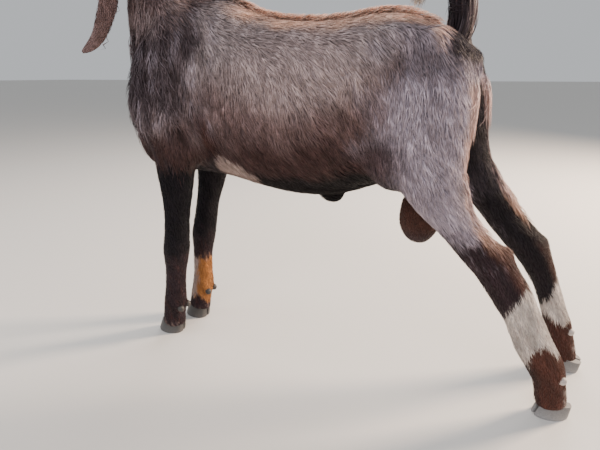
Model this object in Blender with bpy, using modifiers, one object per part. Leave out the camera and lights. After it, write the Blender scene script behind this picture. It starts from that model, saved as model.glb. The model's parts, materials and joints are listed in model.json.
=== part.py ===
"""A long-eared billy goat of the Beetal kind, life size, standing stretched with its tail up.

Metres, +Z up. The goat faces -X and its left side is -Y. The origin lies on the floor under
the middle of the goat. While it is modelled, x runs back from the middle of its two fore feet.
"""

import math
import random

import bmesh
import bpy
import numpy as np
from mathutils import Matrix, Vector
from mathutils.bvhtree import BVHTree

# Driving sizes of the animal, coat included
WITHERS_HEIGHT = 0.908
LOIN_HEIGHT = 0.838
ORIGIN_FROM_FORE_FEET = Vector((0.38595, 0.0, 0.0))
LEFT, RIGHT = -1, 1

# Where one piece meets the next
GAP = 0.0003
FIT_EASE = 1.2
CLEAR_OF_FACE = 0.1

# How finely the flesh is made before it is parted
BODY_VOXEL = 0.007
BODY_SMOOTHING = 6
TRUNK_SMOOTHING = 14
TRUNK_FLOOR = 0.47
BODY_FACES = 4200
HEAD_VOXEL = 0.0034
HEAD_SMOOTHING = 7
HEAD_FACES = 1850

# Trunk: x, top, underside, half width, height of the widest place, how square above and below
TRUNK = [
    (-0.070, 0.725, 0.550, 0.050, 0.630, 2.0, 2.0),
    (-0.050, 0.785, 0.512, 0.082, 0.630, 2.1, 2.0),
    (-0.018, 0.845, 0.490, 0.102, 0.640, 2.0, 1.9),
    (0.030, 0.893, 0.480, 0.116, 0.650, 1.8, 1.8),
    (0.080, WITHERS_HEIGHT, 0.476, 0.127, 0.650, 1.7, 1.8),
    (0.140, 0.903, 0.474, 0.136, 0.640, 1.7, 1.9),
    (0.200, 0.887, 0.469, 0.145, 0.630, 1.8, 2.0),
    (0.260, 0.859, 0.457, 0.154, 0.620, 1.9, 2.1),
    (0.320, 0.843, 0.446, 0.160, 0.615, 2.0, 2.1),
    (0.380, LOIN_HEIGHT, 0.440, 0.161, 0.620, 2.0, 2.1),
    (0.440, 0.837, 0.442, 0.157, 0.630, 2.0, 2.1),
    (0.500, 0.842, 0.453, 0.148, 0.650, 2.0, 2.0),
    (0.550, 0.849, 0.472, 0.137, 0.670, 2.0, 2.0),
    (0.600, 0.846, 0.490, 0.124, 0.690, 1.9, 2.0),
    (0.650, 0.826, 0.515, 0.108, 0.690, 1.9, 2.0),
    (0.700, 0.796, 0.560, 0.088, 0.700, 1.9, 2.0),
    (0.735, 0.772, 0.620, 0.066, 0.710, 2.0, 2.0),
    (0.752, 0.750, 0.660, 0.040, 0.710, 2.0, 2.0),
]

# Neck, up from the chest: x, y, z, half depth, half width
NECK = [
    (0.078, 0, 0.690, 0.150, 0.096),
    (0.050, 0, 0.780, 0.134, 0.094),
    (0.025, 0, 0.860, 0.114, 0.086),
    (0.009, 0, 0.935, 0.096, 0.072),
    (-0.003, 0, 1.000, 0.077, 0.062),
    (-0.020, 0, 1.052, 0.069, 0.056),
    (-0.046, 0, 1.094, 0.060, 0.052),
    (-0.085, 0, 1.112, 0.050, 0.046),
]

# Rounded masses of the trunk: centre and half sizes. The paired ones stand at a distance out
MIDDLE_MASSES = {
    "brisket": ((-0.044, 0, 0.575), (0.048, 0.060, 0.092)),
    "sheath": ((0.444, 0, 0.440), (0.034, 0.017, 0.024)),
    "groin": ((0.640, 0, 0.545), (0.075, 0.070, 0.060)),
}
PAIRED_MASSES = {
    "hook_bone": ((0.585, 0.074, 0.792), (0.060, 0.032, 0.028)),
    "pin_bone": ((0.728, 0.046, 0.744), (0.036, 0.026, 0.034)),
    "buttock": ((0.705, 0.048, 0.655), (0.050, 0.042, 0.090)),
    "flank_fold": ((0.607, 0.092, 0.538), (0.066, 0.040, 0.058)),
}
SHOULDER_BLADE = [
    (0.088, 0.055, 0.850, 0.045, 0.030),
    (0.066, 0.083, 0.780, 0.064, 0.036),
    (0.036, 0.100, 0.700, 0.070, 0.038),
    (0.008, 0.104, 0.635, 0.056, 0.036),
    (-0.004, 0.102, 0.595, 0.034, 0.028),
]
UPPER_ARM = [
    (0.018, 0.106, 0.640, 0.046, 0.034),
    (0.054, 0.109, 0.600, 0.060, 0.040),
    (0.080, 0.105, 0.545, 0.058, 0.039),
    (0.086, 0.098, 0.500, 0.038, 0.032),
]

# Fore leg, down from the elbow: height, lean (1 at the elbow, 0 at the foot), half depth, half width
FORE_LEG = [
    (0.560, 1.02, 0.062, 0.044),
    (0.500, 1.02, 0.054, 0.040),
    (0.440, 0.97, 0.043, 0.036),
    (0.370, 0.85, 0.035, 0.032),
    (0.320, 0.75, 0.036, 0.031),
    (0.285, 0.66, 0.037, 0.034),
    (0.255, 0.58, 0.036, 0.034),
    (0.210, 0.47, 0.031, 0.028),
    (0.155, 0.35, 0.031, 0.027),
    (0.120, 0.27, 0.033, 0.030),
    (0.098, 0.21, 0.034, 0.032),
    (0.072, 0.12, 0.033, 0.029),
    (0.045, 0.05, 0.034, 0.030),
    (0.022, 0.00, 0.034, 0.030),
]
KNEE_ROW = 6
FETLOCK_ROW = 10
KNEE_HEIGHT = 0.268
KNEE_AHEAD = 0.006
KNEE_SIZES = (0.030, 0.034, 0.030)
ELBOW_OUT = 0.092
FORE_FOOT_OUT = 0.052
ELBOW_BACK = {LEFT: 0.062, RIGHT: 0.064}
FORE_FOOT_BACK = {LEFT: -0.014, RIGHT: 0.010}
KNEE_BOW = {LEFT: 0.0, RIGHT: 0.014}
BOW_HEIGHT = 0.290
BOW_REACH = 0.170
DEWCLAW_SIZES = (0.013, 0.010, 0.014)
DEWCLAW_OUT = 0.017
DEWCLAW_BACK = 0.021
DEWCLAW_DROP = 0.006

# Hind legs, down from the hip: x, distance out, z, half depth, half width
HIND_LEG = {
    LEFT: [
        (0.640, 0.052, 0.805, 0.050, 0.030),
        (0.646, 0.064, 0.765, 0.086, 0.048),
        (0.655, 0.078, 0.690, 0.099, 0.064),
        (0.664, 0.088, 0.610, 0.091, 0.068),
        (0.678, 0.098, 0.534, 0.076, 0.062),
        (0.702, 0.107, 0.480, 0.058, 0.054),
        (0.741, 0.113, 0.425, 0.039, 0.044),
        (0.778, 0.116, 0.385, 0.038, 0.040),
        (0.813, 0.117, 0.355, 0.042, 0.038),
        (0.838, 0.117, 0.322, 0.041, 0.037),
        (0.867, 0.116, 0.280, 0.041, 0.035),
        (0.885, 0.116, 0.250, 0.038, 0.031),
        (0.904, 0.112, 0.212, 0.039, 0.030),
        (0.922, 0.108, 0.175, 0.040, 0.031),
        (0.942, 0.104, 0.143, 0.039, 0.033),
        (0.958, 0.100, 0.115, 0.038, 0.034),
        (0.967, 0.096, 0.087, 0.034, 0.031),
        (0.976, 0.092, 0.050, 0.034, 0.030),
        (0.981, 0.090, 0.022, 0.034, 0.030),
    ],
    RIGHT: [
        (0.642, 0.052, 0.805, 0.050, 0.030),
        (0.650, 0.064, 0.765, 0.092, 0.048),
        (0.669, 0.078, 0.690, 0.111, 0.064),
        (0.693, 0.088, 0.610, 0.104, 0.068),
        (0.728, 0.097, 0.545, 0.081, 0.062),
        (0.766, 0.104, 0.497, 0.058, 0.054),
        (0.806, 0.109, 0.448, 0.044, 0.046),
        (0.852, 0.111, 0.388, 0.039, 0.041),
        (0.894, 0.112, 0.342, 0.039, 0.038),
        (0.926, 0.112, 0.312, 0.041, 0.036),
        (0.950, 0.112, 0.270, 0.035, 0.033),
        (0.968, 0.112, 0.235, 0.031, 0.029),
        (0.987, 0.112, 0.190, 0.030, 0.028),
        (1.002, 0.112, 0.152, 0.031, 0.029),
        (1.014, 0.112, 0.120, 0.033, 0.033),
        (1.026, 0.112, 0.090, 0.030, 0.031),
        (1.036, 0.112, 0.050, 0.032, 0.030),
        (1.042, 0.112, 0.022, 0.033, 0.030),
    ],
}
HOCK_ROW = 9
HIND_FETLOCK_ROW = {LEFT: 15, RIGHT: 14}
HEEL_CORD = {
    LEFT: [
        (0.752, 0.113, 0.440, 0.021, 0.020),
        (0.789, 0.116, 0.400, 0.017, 0.016),
        (0.842, 0.117, 0.368, 0.016, 0.016),
        (0.862, 0.117, 0.310, 0.015, 0.016),
    ],
    RIGHT: [
        (0.826, 0.109, 0.462, 0.022, 0.020),
        (0.884, 0.112, 0.392, 0.017, 0.016),
        (0.949, 0.112, 0.324, 0.016, 0.016),
        (0.958, 0.112, 0.262, 0.015, 0.016),
    ],
}
HOCK_POINT_SIZES = (0.017, 0.018, 0.028)

# Head, from its own point at the back of the skull: forward along the face, left, and up
HEAD_POINT = Vector((-0.043, 0.0, 1.129))
HEAD_PITCH = math.radians(16)
FACE = [
    (-0.020, 0.014, -0.060, 0.038, -0.020, 2.0, 2.0),
    (0.006, 0.040, -0.086, 0.051, -0.024, 2.0, 2.0),
    (0.036, 0.056, -0.104, 0.058, -0.026, 2.1, 1.9),
    (0.068, 0.063, -0.111, 0.060, -0.020, 2.2, 1.8),
    (0.100, 0.062, -0.106, 0.059, -0.010, 2.2, 1.8),
    (0.130, 0.060, -0.096, 0.053, -0.014, 2.1, 1.9),
    (0.160, 0.055, -0.087, 0.046, -0.020, 2.1, 2.0),
    (0.190, 0.046, -0.080, 0.040, -0.024, 2.1, 2.1),
    (0.218, 0.034, -0.074, 0.036, -0.026, 2.1, 2.2),
    (0.243, 0.018, -0.069, 0.034, -0.028, 2.2, 2.3),
    (0.264, 0.001, -0.064, 0.031, -0.032, 2.2, 2.3),
    (0.279, -0.014, -0.058, 0.025, -0.037, 2.2, 2.2),
    (0.287, -0.027, -0.051, 0.014, -0.040, 2.0, 2.0),
]

# Where the head meets the neck
POLL = Vector((0.000, 0, 1.150))
THROAT = Vector((-0.095, 0, 1.012))

HEAD_SIDES = {"left": 1, "right": -1}

EYE_RADIUS = 0.0155
EYE_PLACE = Vector((0.108, 0.0495, 0.021))
EYE_AIM = Vector((0.28, 1.0, 0.10))
LID_DEPTH = 0.0042
LID_HALF_OPENING = (0.0135, 0.0092)

# Rounded masses of the face in the head's directions: centre and half sizes
FACE_MIDDLE_MASSES = {
    "lower_lip": ((0.258, 0, -0.058), (0.024, 0.020, 0.010)),
    "chin": ((0.240, 0, -0.066), (0.028, 0.020, 0.012)),
}
FACE_PAIRED_MASSES = {
    "brow": ((0.100, 0.042, 0.036), (0.030, 0.015, 0.009)),
    "zygoma": ((0.100, 0.050, -0.004), (0.044, 0.010, 0.010)),
    "horn_root": ((0.034, 0.027, 0.040), (0.030, 0.020, 0.018)),
    "nose_wing": ((0.266, 0.018, -0.022), (0.016, 0.011, 0.014)),
    "upper_lip": ((0.258, 0.019, -0.040), (0.030, 0.014, 0.009)),
    "ear_root": ((0.044, 0.046, 0.000), (0.024, 0.018, 0.022)),
}
CHEEK = [
    (0.022, 0.032, -0.036, 0.022, 0.018),
    (0.056, 0.040, -0.052, 0.038, 0.019),
    (0.096, 0.038, -0.056, 0.034, 0.017),
    (0.140, 0.030, -0.052, 0.018, 0.012),
]
ORBIT_SHAPE = (1.10, 1.0, 0.98)

NOSE_CENTRE = Vector((0.252, 0.0, -0.026))
NOSTRIL_AIM = Vector((0.86, 0.52, 0.10))
NOSTRIL_HALF_SIZE = Vector((0.0095, 0.0042, 0.0085))
NOSTRIL_SLANT = 0.6
MOUTH_HEIGHT = -0.0475
MOUTH_DEPTH = 0.0045
MOUTH_START = Vector((0.250, 0, MOUTH_HEIGHT))
MOUTH_RINGS = 21
MOUTH_SWING = math.radians(118)
MOUTH_CORNER_RISE = 0.006
MOUTH_CORNER_FADE = 0.5
MOUTH_OUTSIDE = 0.004
MOUTH_HALF_GAPE = 0.00176

# Horns, from the skull to the tip in the head's directions: place, half depth, half width
HORN_SIDES = 8
HORN_KEEL = 1.18
HORN = [
    (0.034, 0.027, 0.030, 0.0285, 0.0185),
    (0.022, 0.034, 0.080, 0.0265, 0.0165),
    (-0.012, 0.050, 0.126, 0.0235, 0.0145),
    (-0.058, 0.078, 0.152, 0.0195, 0.0122),
    (-0.100, 0.112, 0.160, 0.0150, 0.0098),
    (-0.133, 0.146, 0.166, 0.0105, 0.0072),
    (-0.155, 0.176, 0.180, 0.0040, 0.0034),
]
HORN_TWIST = math.radians(200)

# Ears, from the skull to the tip: place, half width along the curve, half angle that it rolls round
LEFT_EAR = [
    (-0.082, 0.044, 1.120, 0.026, 100),
    (-0.082, 0.070, 1.112, 0.031, 84),
    (-0.078, 0.092, 1.086, 0.037, 62),
    (-0.071, 0.107, 1.042, 0.043, 44),
    (-0.064, 0.115, 0.990, 0.044, 32),
    (-0.058, 0.120, 0.935, 0.031, 26),
    (-0.060, 0.123, 0.885, 0.0245, 26),
    (-0.077, 0.123, 0.842, 0.0205, 30),
    (-0.098, 0.121, 0.811, 0.0190, 32),
    (-0.127, 0.118, 0.787, 0.013, 28),
    (-0.156, 0.114, 0.773, 0.003, 12),
]
RIGHT_EAR = [
    (-0.082, 0.044, 1.120, 0.026, 100),
    (-0.083, 0.070, 1.113, 0.031, 84),
    (-0.080, 0.093, 1.088, 0.037, 62),
    (-0.071, 0.110, 1.042, 0.043, 44),
    (-0.062, 0.119, 0.990, 0.044, 32),
    (-0.054, 0.125, 0.935, 0.033, 26),
    (-0.052, 0.128, 0.884, 0.0265, 26),
    (-0.060, 0.129, 0.838, 0.0215, 30),
    (-0.080, 0.127, 0.802, 0.020, 34),
    (-0.106, 0.123, 0.780, 0.013, 28),
    (-0.131, 0.118, 0.768, 0.003, 12),
]
EAR_THICKNESS = 0.0042

# Locks of long hair. Each is flat and tapers: how far along it each ring stands, how far
# it has risen from the skin, and its share of the full width
LOCK_RINGS = (
    (0.00, -1.0, 0.60),
    (0.25, 0.50, 1.00),
    (0.62, 0.95, 0.80),
    (1.00, 1.10, 0.08),
)
LOCK_FLATNESS = 0.42
LOCK_SINK = 0.008
LOCK_SEED = 14
LOCK_CURL = 0.45
LOCK_LENGTHS = (0.80, 1.12)
LOCK_WIDTHS = (0.85, 1.10)
LOCK_STRAY = 0.15
LOCK_PLACE_STRAY = 0.25

# Beard: place along the chin, locks side by side, half spread, length
BEARD = [
    (0.260, 3, 0.009, 0.048),
    (0.249, 3, 0.012, 0.070),
    (0.238, 4, 0.014, 0.086),
    (0.226, 3, 0.012, 0.090),
    (0.214, 3, 0.009, 0.074),
]
BEARD_HALF_WIDTH = 0.0085
BEARD_LOWEST = 0.915
BEARD_SINK = 0.0096
BEARD_SWING = (-0.02, 0.10)
BEARD_STRAY = 0.06
BEARD_GATHER = 4
BEARD_BEND = (-0.05, 0.25)
BEARD_SIDE_BEND = 0.12

# Forelock: place along the forehead, locks side by side, half spread, length, half width
FORELOCK = [
    (0.028, 1, 0.000, 0.062, 0.0050),
    (0.048, 1, 0.000, 0.060, 0.0055),
    (0.076, 3, 0.010, 0.052, 0.0085),
    (0.088, 4, 0.017, 0.044, 0.0085),
]
FORELOCK_LIFT = 0.0042
FORELOCK_ABOVE = 0.070
FORELOCK_FAN = 14

# Long hair of the body, row by row: start, end, locks in the row, lie, length, half width, lift
BODY_LOCKS = {
    "crest": ((0.022, 0.012, 1.125), (0.110, 0.014, 0.965), 7, (0.60, 0.10, -0.80), 0.078, 0.0145, 0.0080),
    "nape": ((0.000, 0.038, 1.100), (0.070, 0.050, 0.965), 4, (0.45, 0.22, -0.83), 0.076, 0.0160, 0.0060),
    "throat": ((-0.110, 0.014, 0.965), (-0.105, 0.016, 0.785), 6, (-0.05, 0.05, -1.0), 0.074, 0.0150, 0.0060),
    "brisket": ((-0.100, 0.016, 0.690), (-0.090, 0.018, 0.590), 3, (0.0, 0.10, -1.0), 0.070, 0.0155, 0.0060),
    "breech": ((0.785, 0.078, 0.720), (0.765, 0.090, 0.645), 4, (0.05, 0.0, -1.0), 0.054, 0.0125, 0.0070),
}
LEG_LOCKS = {
    LEFT: ((0.752, 0.100, 0.525), (0.790, 0.115, 0.440), 4, (0.50, 0.0, -0.86), 0.048, 0.0110, 0.0065),
    RIGHT: ((0.810, 0.100, 0.520), (0.875, 0.112, 0.420), 4, (0.50, 0.0, -0.86), 0.048, 0.0110, 0.0065),
}

# Tail's core: x, y, z, half depth, half width
TAIL = [
    (0.690, 0.000, 0.770, 0.036, 0.032),
    (0.708, 0.000, 0.800, 0.031, 0.027),
    (0.713, 0.000, 0.832, 0.023, 0.020),
    (0.709, -0.001, 0.868, 0.016, 0.015),
    (0.696, -0.003, 0.902, 0.012, 0.013),
    (0.673, -0.006, 0.927, 0.011, 0.012),
    (0.647, -0.010, 0.932, 0.010, 0.012),
    (0.629, -0.014, 0.910, 0.009, 0.011),
    (0.621, -0.017, 0.878, 0.006, 0.007),
]
TAIL_PARTING = 5

# Hair round the tail: how far along each tuft of locks starts, in rows of the table above,
# how many stand round it, and the reach of their tips from the core's middle
TAIL_TUFTS = [
    (1.40, 4, 0.034),
    (2.45, 5, 0.031),
    (3.55, 4, 0.026),
    (4.65, 4, 0.022),
    (5.75, 4, 0.021),
    (6.80, 4, 0.019),
]
TAIL_LOCK_ROWS = 1.9
TAIL_LOCK_HALF_WIDTH = 0.0140
TAIL_LOCK_SINK = 0.0056
TAIL_LOCK_RISE = 0.8
TAIL_STEPS = 8
TAIL_BARE_HALF_ANGLE = math.radians(38)

# Scrotum, down from the groin: x, y, z, half depth, half width
SCROTUM = [
    (0.655, 0, 0.500, 0.026, 0.028),
    (0.653, 0, 0.465, 0.030, 0.031),
    (0.653, 0, 0.430, 0.040, 0.041),
    (0.658, 0, 0.400, 0.048, 0.047),
    (0.667, 0, 0.374, 0.045, 0.043),
    (0.677, 0, 0.357, 0.032, 0.032),
    (0.684, 0, 0.348, 0.013, 0.014),
]

# Hooves: length, width and height of one claw, and the cleft between the two. The top is a
# smaller copy of the sole, further back, and drops towards the heel by a share of the height
CLAW_LENGTH = 0.072
CLAW_WIDTH = 0.028
CLAW_HEIGHT = 0.041
CLAW_CLEFT = 0.003
CLAW_SOLE_EDGE = 0.004
CLAW_SOLE_SIZE = 0.97
CLAW_TOP_SIZE = 0.84
CLAW_TOP_BACK = 0.009
CLAW_HEEL_DROP = 0.30
CLAW_AHEAD = {"fore": 0.010, "hind": 0.0}
TOES_OUT = {"fore_left": 6, "fore_right": 6, "hind_left": 22, "hind_right": 8}
CLAW_OUTLINE = [
    (-0.50, 0.10), (-0.46, 0.42), (-0.30, 0.78), (-0.05, 1.0), (0.22, 0.98), (0.42, 0.75),
    (0.50, 0.40), (0.50, 0.05), (0.20, 0.0), (-0.20, 0.0),
]

COLOURS = {
    "coat": (0.17, 0.12, 0.10, 1),
    "leg": (0.06, 0.03, 0.03, 1),
    "white": (0.60, 0.53, 0.46, 1),
    "skin": (0.22, 0.10, 0.08, 1),
    "horn": (0.14, 0.12, 0.10, 1),
    "hoof": (0.20, 0.19, 0.18, 1),
    "eye": (0.55, 0.30, 0.06, 1),
}
ROUGHNESS = {"coat": 0.8, "leg": 0.7, "white": 0.8, "skin": 0.6, "horn": 0.5, "hoof": 0.6, "eye": 0.05}


def collection(name):
    made = bpy.data.collections.new(name)
    bpy.context.scene.collection.children.link(made)
    return made


def material(finish, node):
    made = bpy.data.materials.new(node + "_" + finish)
    made.use_nodes = True
    shader = made.node_tree.nodes["Principled BSDF"]
    shader.inputs["Base Color"].default_value = COLOURS[finish]
    shader.inputs["Roughness"].default_value = ROUGHNESS[finish]
    made.diffuse_color = COLOURS[finish]
    return made


def add_object(name, mesh, group):
    made = bpy.data.objects.new(name, mesh)
    group.objects.link(made)
    return made


def mesh_from(bm, name):
    bm.normal_update()
    bmesh.ops.recalc_face_normals(bm, faces=bm.faces)
    mesh = bpy.data.meshes.new(name)
    bm.to_mesh(mesh)
    bm.free()
    return mesh


def remove_objects(group):
    for old in list(group.objects):
        bpy.data.objects.remove(old, do_unlink=True)


def apply_modifiers(piece):
    """Make the piece's mesh what its modifiers show."""
    bpy.context.view_layer.update()
    seen = piece.evaluated_get(bpy.context.evaluated_depsgraph_get())
    mesh = bpy.data.meshes.new_from_object(seen)
    piece.modifiers.clear()
    piece.data = mesh


def keep_largest(piece, triangles=False):
    """Drop every closed surface of a piece but the largest."""
    bm = bmesh.new()
    bm.from_mesh(piece.data)
    if triangles:
        bmesh.ops.triangulate(bm, faces=bm.faces)
    bodies = closed_bodies(bm)
    largest = max(bodies, key=lambda faces: sum(face.calc_area() for face in faces))
    spare = [face for faces in bodies if faces is not largest for face in faces]
    bmesh.ops.delete(bm, geom=spare, context="FACES")
    bm.to_mesh(piece.data)
    bm.free()


def closed_bodies(bm):
    """The faces of a mesh in groups that hang together by edges of just two faces."""
    left = set(bm.faces)
    bodies = []
    while left:
        front = [left.pop()]
        body = list(front)
        while front:
            face = front.pop()
            for edge in face.edges:
                near = edge.link_faces if len(edge.link_faces) == 2 else []
                for other in near:
                    if other in left:
                        left.remove(other)
                        front.append(other)
                        body.append(other)
        bodies.append(body)
    return bodies


def cut_or_join(piece, other, operation):
    """One Boolean of a piece with an object or with a collection of objects, applied."""
    modifier = piece.modifiers.new(operation, "BOOLEAN")
    modifier.operation = operation
    modifier.solver = "EXACT"
    if isinstance(other, bpy.types.Collection):
        modifier.operand_type = "COLLECTION"
        modifier.collection = other
    else:
        modifier.object = other
    apply_modifiers(piece)


def smooth_rows(rows, steps):
    """Rows of numbers on a smooth curve through the given rows, steps to a span."""
    table = np.array(rows, float)
    padded = np.vstack([2 * table[0] - table[1], table, 2 * table[-1] - table[-2]])
    made = []
    for i in range(len(table) - 1):
        a, b, c, d = padded[i : i + 4]
        for step in range(steps):
            t = step / steps
            cubic = (3 * b - a - 3 * c + d) * t**3
            made.append(0.5 * (2 * b + (c - a) * t + (2 * a - 5 * b + 4 * c - d) * t * t + cubic))
    made.append(table[-1])
    return made


def loft(name, rings, group):
    """A closed body through rings of equally many points."""
    bm = bmesh.new()
    rows = [[bm.verts.new(point) for point in ring] for ring in rings]
    count = len(rows[0])
    for one, two in zip(rows, rows[1:]):
        for i in range(count):
            j = (i + 1) % count
            bm.faces.new((one[i], one[j], two[j], two[i]))
    bm.faces.new(list(reversed(rows[0])))
    bm.faces.new(rows[-1])
    return add_object(name, mesh_from(bm, name), group)


def oval_limb(name, rows, group, steps=3, sides=16):
    """A tapering limb: oval rings square to a path of x, y, z, half depth and half width."""
    path = smooth_rows(rows, steps)
    points = [Vector(row[:3]) for row in path]
    rings = []
    for i, row in enumerate(path):
        along = points[min(i + 1, len(points) - 1)] - points[max(i - 1, 0)]
        along.normalize()
        deep = along.cross(Vector((0, 1, 0))).normalized()
        wide = along.cross(deep)
        ring = []
        for k in range(sides):
            angle = math.tau * k / sides
            ring.append(points[i] + deep * (row[3] * math.cos(angle)) + wide * (row[4] * math.sin(angle)))
        rings.append(ring)
    return loft(name, rings, group)


def squared_ring(place, top, bottom, half_width, widest, upper, lower, sides=28):
    """One upright section at a place along x: as (x, y, z), wider or slimmer above and below."""
    ring = []
    for k in range(sides):
        angle = math.tau * k / sides
        across, up = math.cos(angle), math.sin(angle)
        power = 2 / (upper if up > 0 else lower)
        reach = (top - widest) if up > 0 else (widest - bottom)
        y = half_width * math.copysign(abs(across) ** power, across)
        z = widest + reach * math.copysign(abs(up) ** power, up)
        ring.append(Vector((place, y, z)))
    return ring


def ball(name, centre, sizes, group, turn=None, rings=10):
    """A rounded mass: a sphere stretched to three half sizes."""
    bm = bmesh.new()
    bmesh.ops.create_uvsphere(bm, u_segments=rings + 6, v_segments=rings, radius=1)
    place = Matrix.Translation(centre)
    if turn is not None:
        place = place @ turn.to_4x4()
    place = place @ Matrix.Diagonal((*sizes, 1))
    bm.transform(place)
    return add_object(name, mesh_from(bm, name), group)


def sided(place, side):
    return Vector((place[0], side * place[1], place[2]))


def sided_rows(rows, side):
    return [(row[0], side * row[1], *row[2:]) for row in rows]


def head_matrix():
    """From the head's own directions (forward, left, up) to the goat's."""
    forward = Vector((-math.cos(HEAD_PITCH), 0, -math.sin(HEAD_PITCH)))
    up = Vector((-math.sin(HEAD_PITCH), 0, math.cos(HEAD_PITCH)))
    left = Vector((0, -1, 0))
    turn = Matrix((forward, left, up)).transposed()
    return Matrix.Translation(HEAD_POINT) @ turn.to_4x4()


HEAD = head_matrix()


def trunk(group):
    rings = [squared_ring(*row) for row in smooth_rows(TRUNK, 3)]
    loft("trunk", rings, group)
    for name, (centre, sizes) in MIDDLE_MASSES.items():
        ball(name, centre, sizes, group)
    for side in (LEFT, RIGHT):
        oval_limb("shoulder_blade", sided_rows(SHOULDER_BLADE, side), group)
        oval_limb("upper_arm", sided_rows(UPPER_ARM, side), group)
        for name, (centre, sizes) in PAIRED_MASSES.items():
            ball(name, sided(centre, side), sizes, group)


def neck(group):
    oval_limb("neck", NECK, group, sides=24)


def fore_leg(side, group):
    foot = FORE_FOOT_BACK[side]
    rows = []
    for height, lean, deep, wide in FORE_LEG:
        bow = max(0, 1 - ((height - BOW_HEIGHT) / BOW_REACH) ** 2)
        x = foot + (ELBOW_BACK[side] - foot) * lean - KNEE_BOW[side] * bow
        out = FORE_FOOT_OUT + (ELBOW_OUT - FORE_FOOT_OUT) * lean
        rows.append((x, side * out, height, deep, wide))
    oval_limb("fore_leg", rows, group)
    knee = rows[KNEE_ROW]
    ball("knee", (knee[0] - KNEE_AHEAD, knee[1], KNEE_HEIGHT), KNEE_SIZES, group)
    dewclaws(rows[FETLOCK_ROW], group)


def hind_leg(side, group):
    rows = sided_rows(HIND_LEG[side], side)
    oval_limb("hind_leg", rows, group)
    oval_limb("heel_cord", sided_rows(HEEL_CORD[side], side), group)
    tip = HEEL_CORD[side][2]
    ball("hock_point", sided(tip, side), HOCK_POINT_SIZES, group)
    dewclaws(rows[HIND_FETLOCK_ROW[side]], group)


def dewclaws(fetlock, group):
    for side in (LEFT, RIGHT):
        offset = Vector((DEWCLAW_BACK, side * DEWCLAW_OUT, -DEWCLAW_DROP))
        ball("dewclaw", Vector(fetlock[:3]) + offset, DEWCLAW_SIZES, group)


def face(group):
    """The head's flesh in its own directions, then set at its place."""
    made = [loft("skull", [squared_ring(*row) for row in smooth_rows(FACE, 3)], group)]
    for side in HEAD_SIDES.values():
        made.append(oval_limb("cheek", sided_rows(CHEEK, side), group))
        orbit = [(EYE_RADIUS + LID_DEPTH) * share for share in ORBIT_SHAPE]
        made.append(ball("orbit", sided(EYE_PLACE, side), orbit, group))
        for name, (centre, sizes) in FACE_PAIRED_MASSES.items():
            made.append(ball(name, sided(centre, side), sizes, group))
    for name, (centre, sizes) in FACE_MIDDLE_MASSES.items():
        made.append(ball(name, centre, sizes, group))
    for piece in made:
        piece.data.transform(HEAD)


def soften_above(piece, floor, rounds):
    """More smoothing of what lies above a height, faded in over a short stretch."""
    fade = 0.03
    region = piece.vertex_groups.new(name="above")
    for vertex in piece.data.vertices:
        share = min(max((vertex.co.z - floor) / fade, 0), 1)
        region.add([vertex.index], share, "REPLACE")
    smooth = piece.modifiers.new("softer", "SMOOTH")
    smooth.factor = 0.5
    smooth.iterations = rounds
    smooth.vertex_group = "above"
    apply_modifiers(piece)
    piece.vertex_groups.clear()


def fused_flesh(name, group, voxel, smoothing, further, faces, target):
    """All the closed shapes of a group as one even skin, smoothed and thinned out to faces."""
    bm = bmesh.new()
    for piece in group.objects:
        bm.from_mesh(piece.data)
    made = add_object(name, mesh_from(bm, name), target)
    remove_objects(group)
    remesh = made.modifiers.new("even", "REMESH")
    remesh.mode = "VOXEL"
    remesh.voxel_size = voxel
    smooth = made.modifiers.new("soft", "SMOOTH")
    smooth.factor = 0.5
    smooth.iterations = smoothing
    apply_modifiers(made)
    soften_above(made, TRUNK_FLOOR, further)
    thin = made.modifiers.new("fewer", "DECIMATE")
    thin.ratio = faces / (2 * len(made.data.polygons))
    apply_modifiers(made)
    keep_largest(made)
    return made


def cut_by_plane(piece, point, normal):
    """Keep what lies on the normal's side of a plane, and close it there."""
    bm = bmesh.new()
    bm.from_mesh(piece.data)
    every = bm.verts[:] + bm.edges[:] + bm.faces[:]
    cut = bmesh.ops.bisect_plane(bm, geom=every, plane_co=point, plane_no=normal, clear_inner=True)
    rim = [item for item in cut["geom_cut"] if isinstance(item, bmesh.types.BMEdge)]
    bmesh.ops.triangle_fill(bm, edges=rim, use_beauty=True)
    bmesh.ops.recalc_face_normals(bm, faces=bm.faces)
    bm.to_mesh(piece.data)
    bm.free()
    keep_largest(piece)


def thin_plate(centre, along, normal, half, group):
    """A plate as thin as the gap between two pieces: its length lies along, its face square to normal."""
    along = along.normalized()
    turn = Matrix((along, normal.cross(along), normal)).transposed().to_4x4()
    bm = bmesh.new()
    bmesh.ops.create_cube(bm, size=2)
    bm.transform(Matrix.Translation(centre) @ turn @ Matrix.Diagonal((*half, GAP / 2, 1)))
    add_object("plate", mesh_from(bm, "plate"), group)


def trim_against(piece, carrier, group):
    """Cut a piece where it runs into its carrier, a gap clear of the carrier's surface."""
    mesh = carrier.data.copy()
    shifted = [vertex.co + vertex.normal * GAP * FIT_EASE for vertex in mesh.vertices]
    for vertex, place in zip(mesh.vertices, shifted):
        vertex.co = place
    cutter = add_object("fit", mesh, group)
    cutter.display_type = "WIRE"
    cutter.hide_render = True
    cut_or_join(piece, cutter, "DIFFERENCE")
    bpy.data.objects.remove(cutter, do_unlink=True)
    keep_largest(piece)


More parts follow.
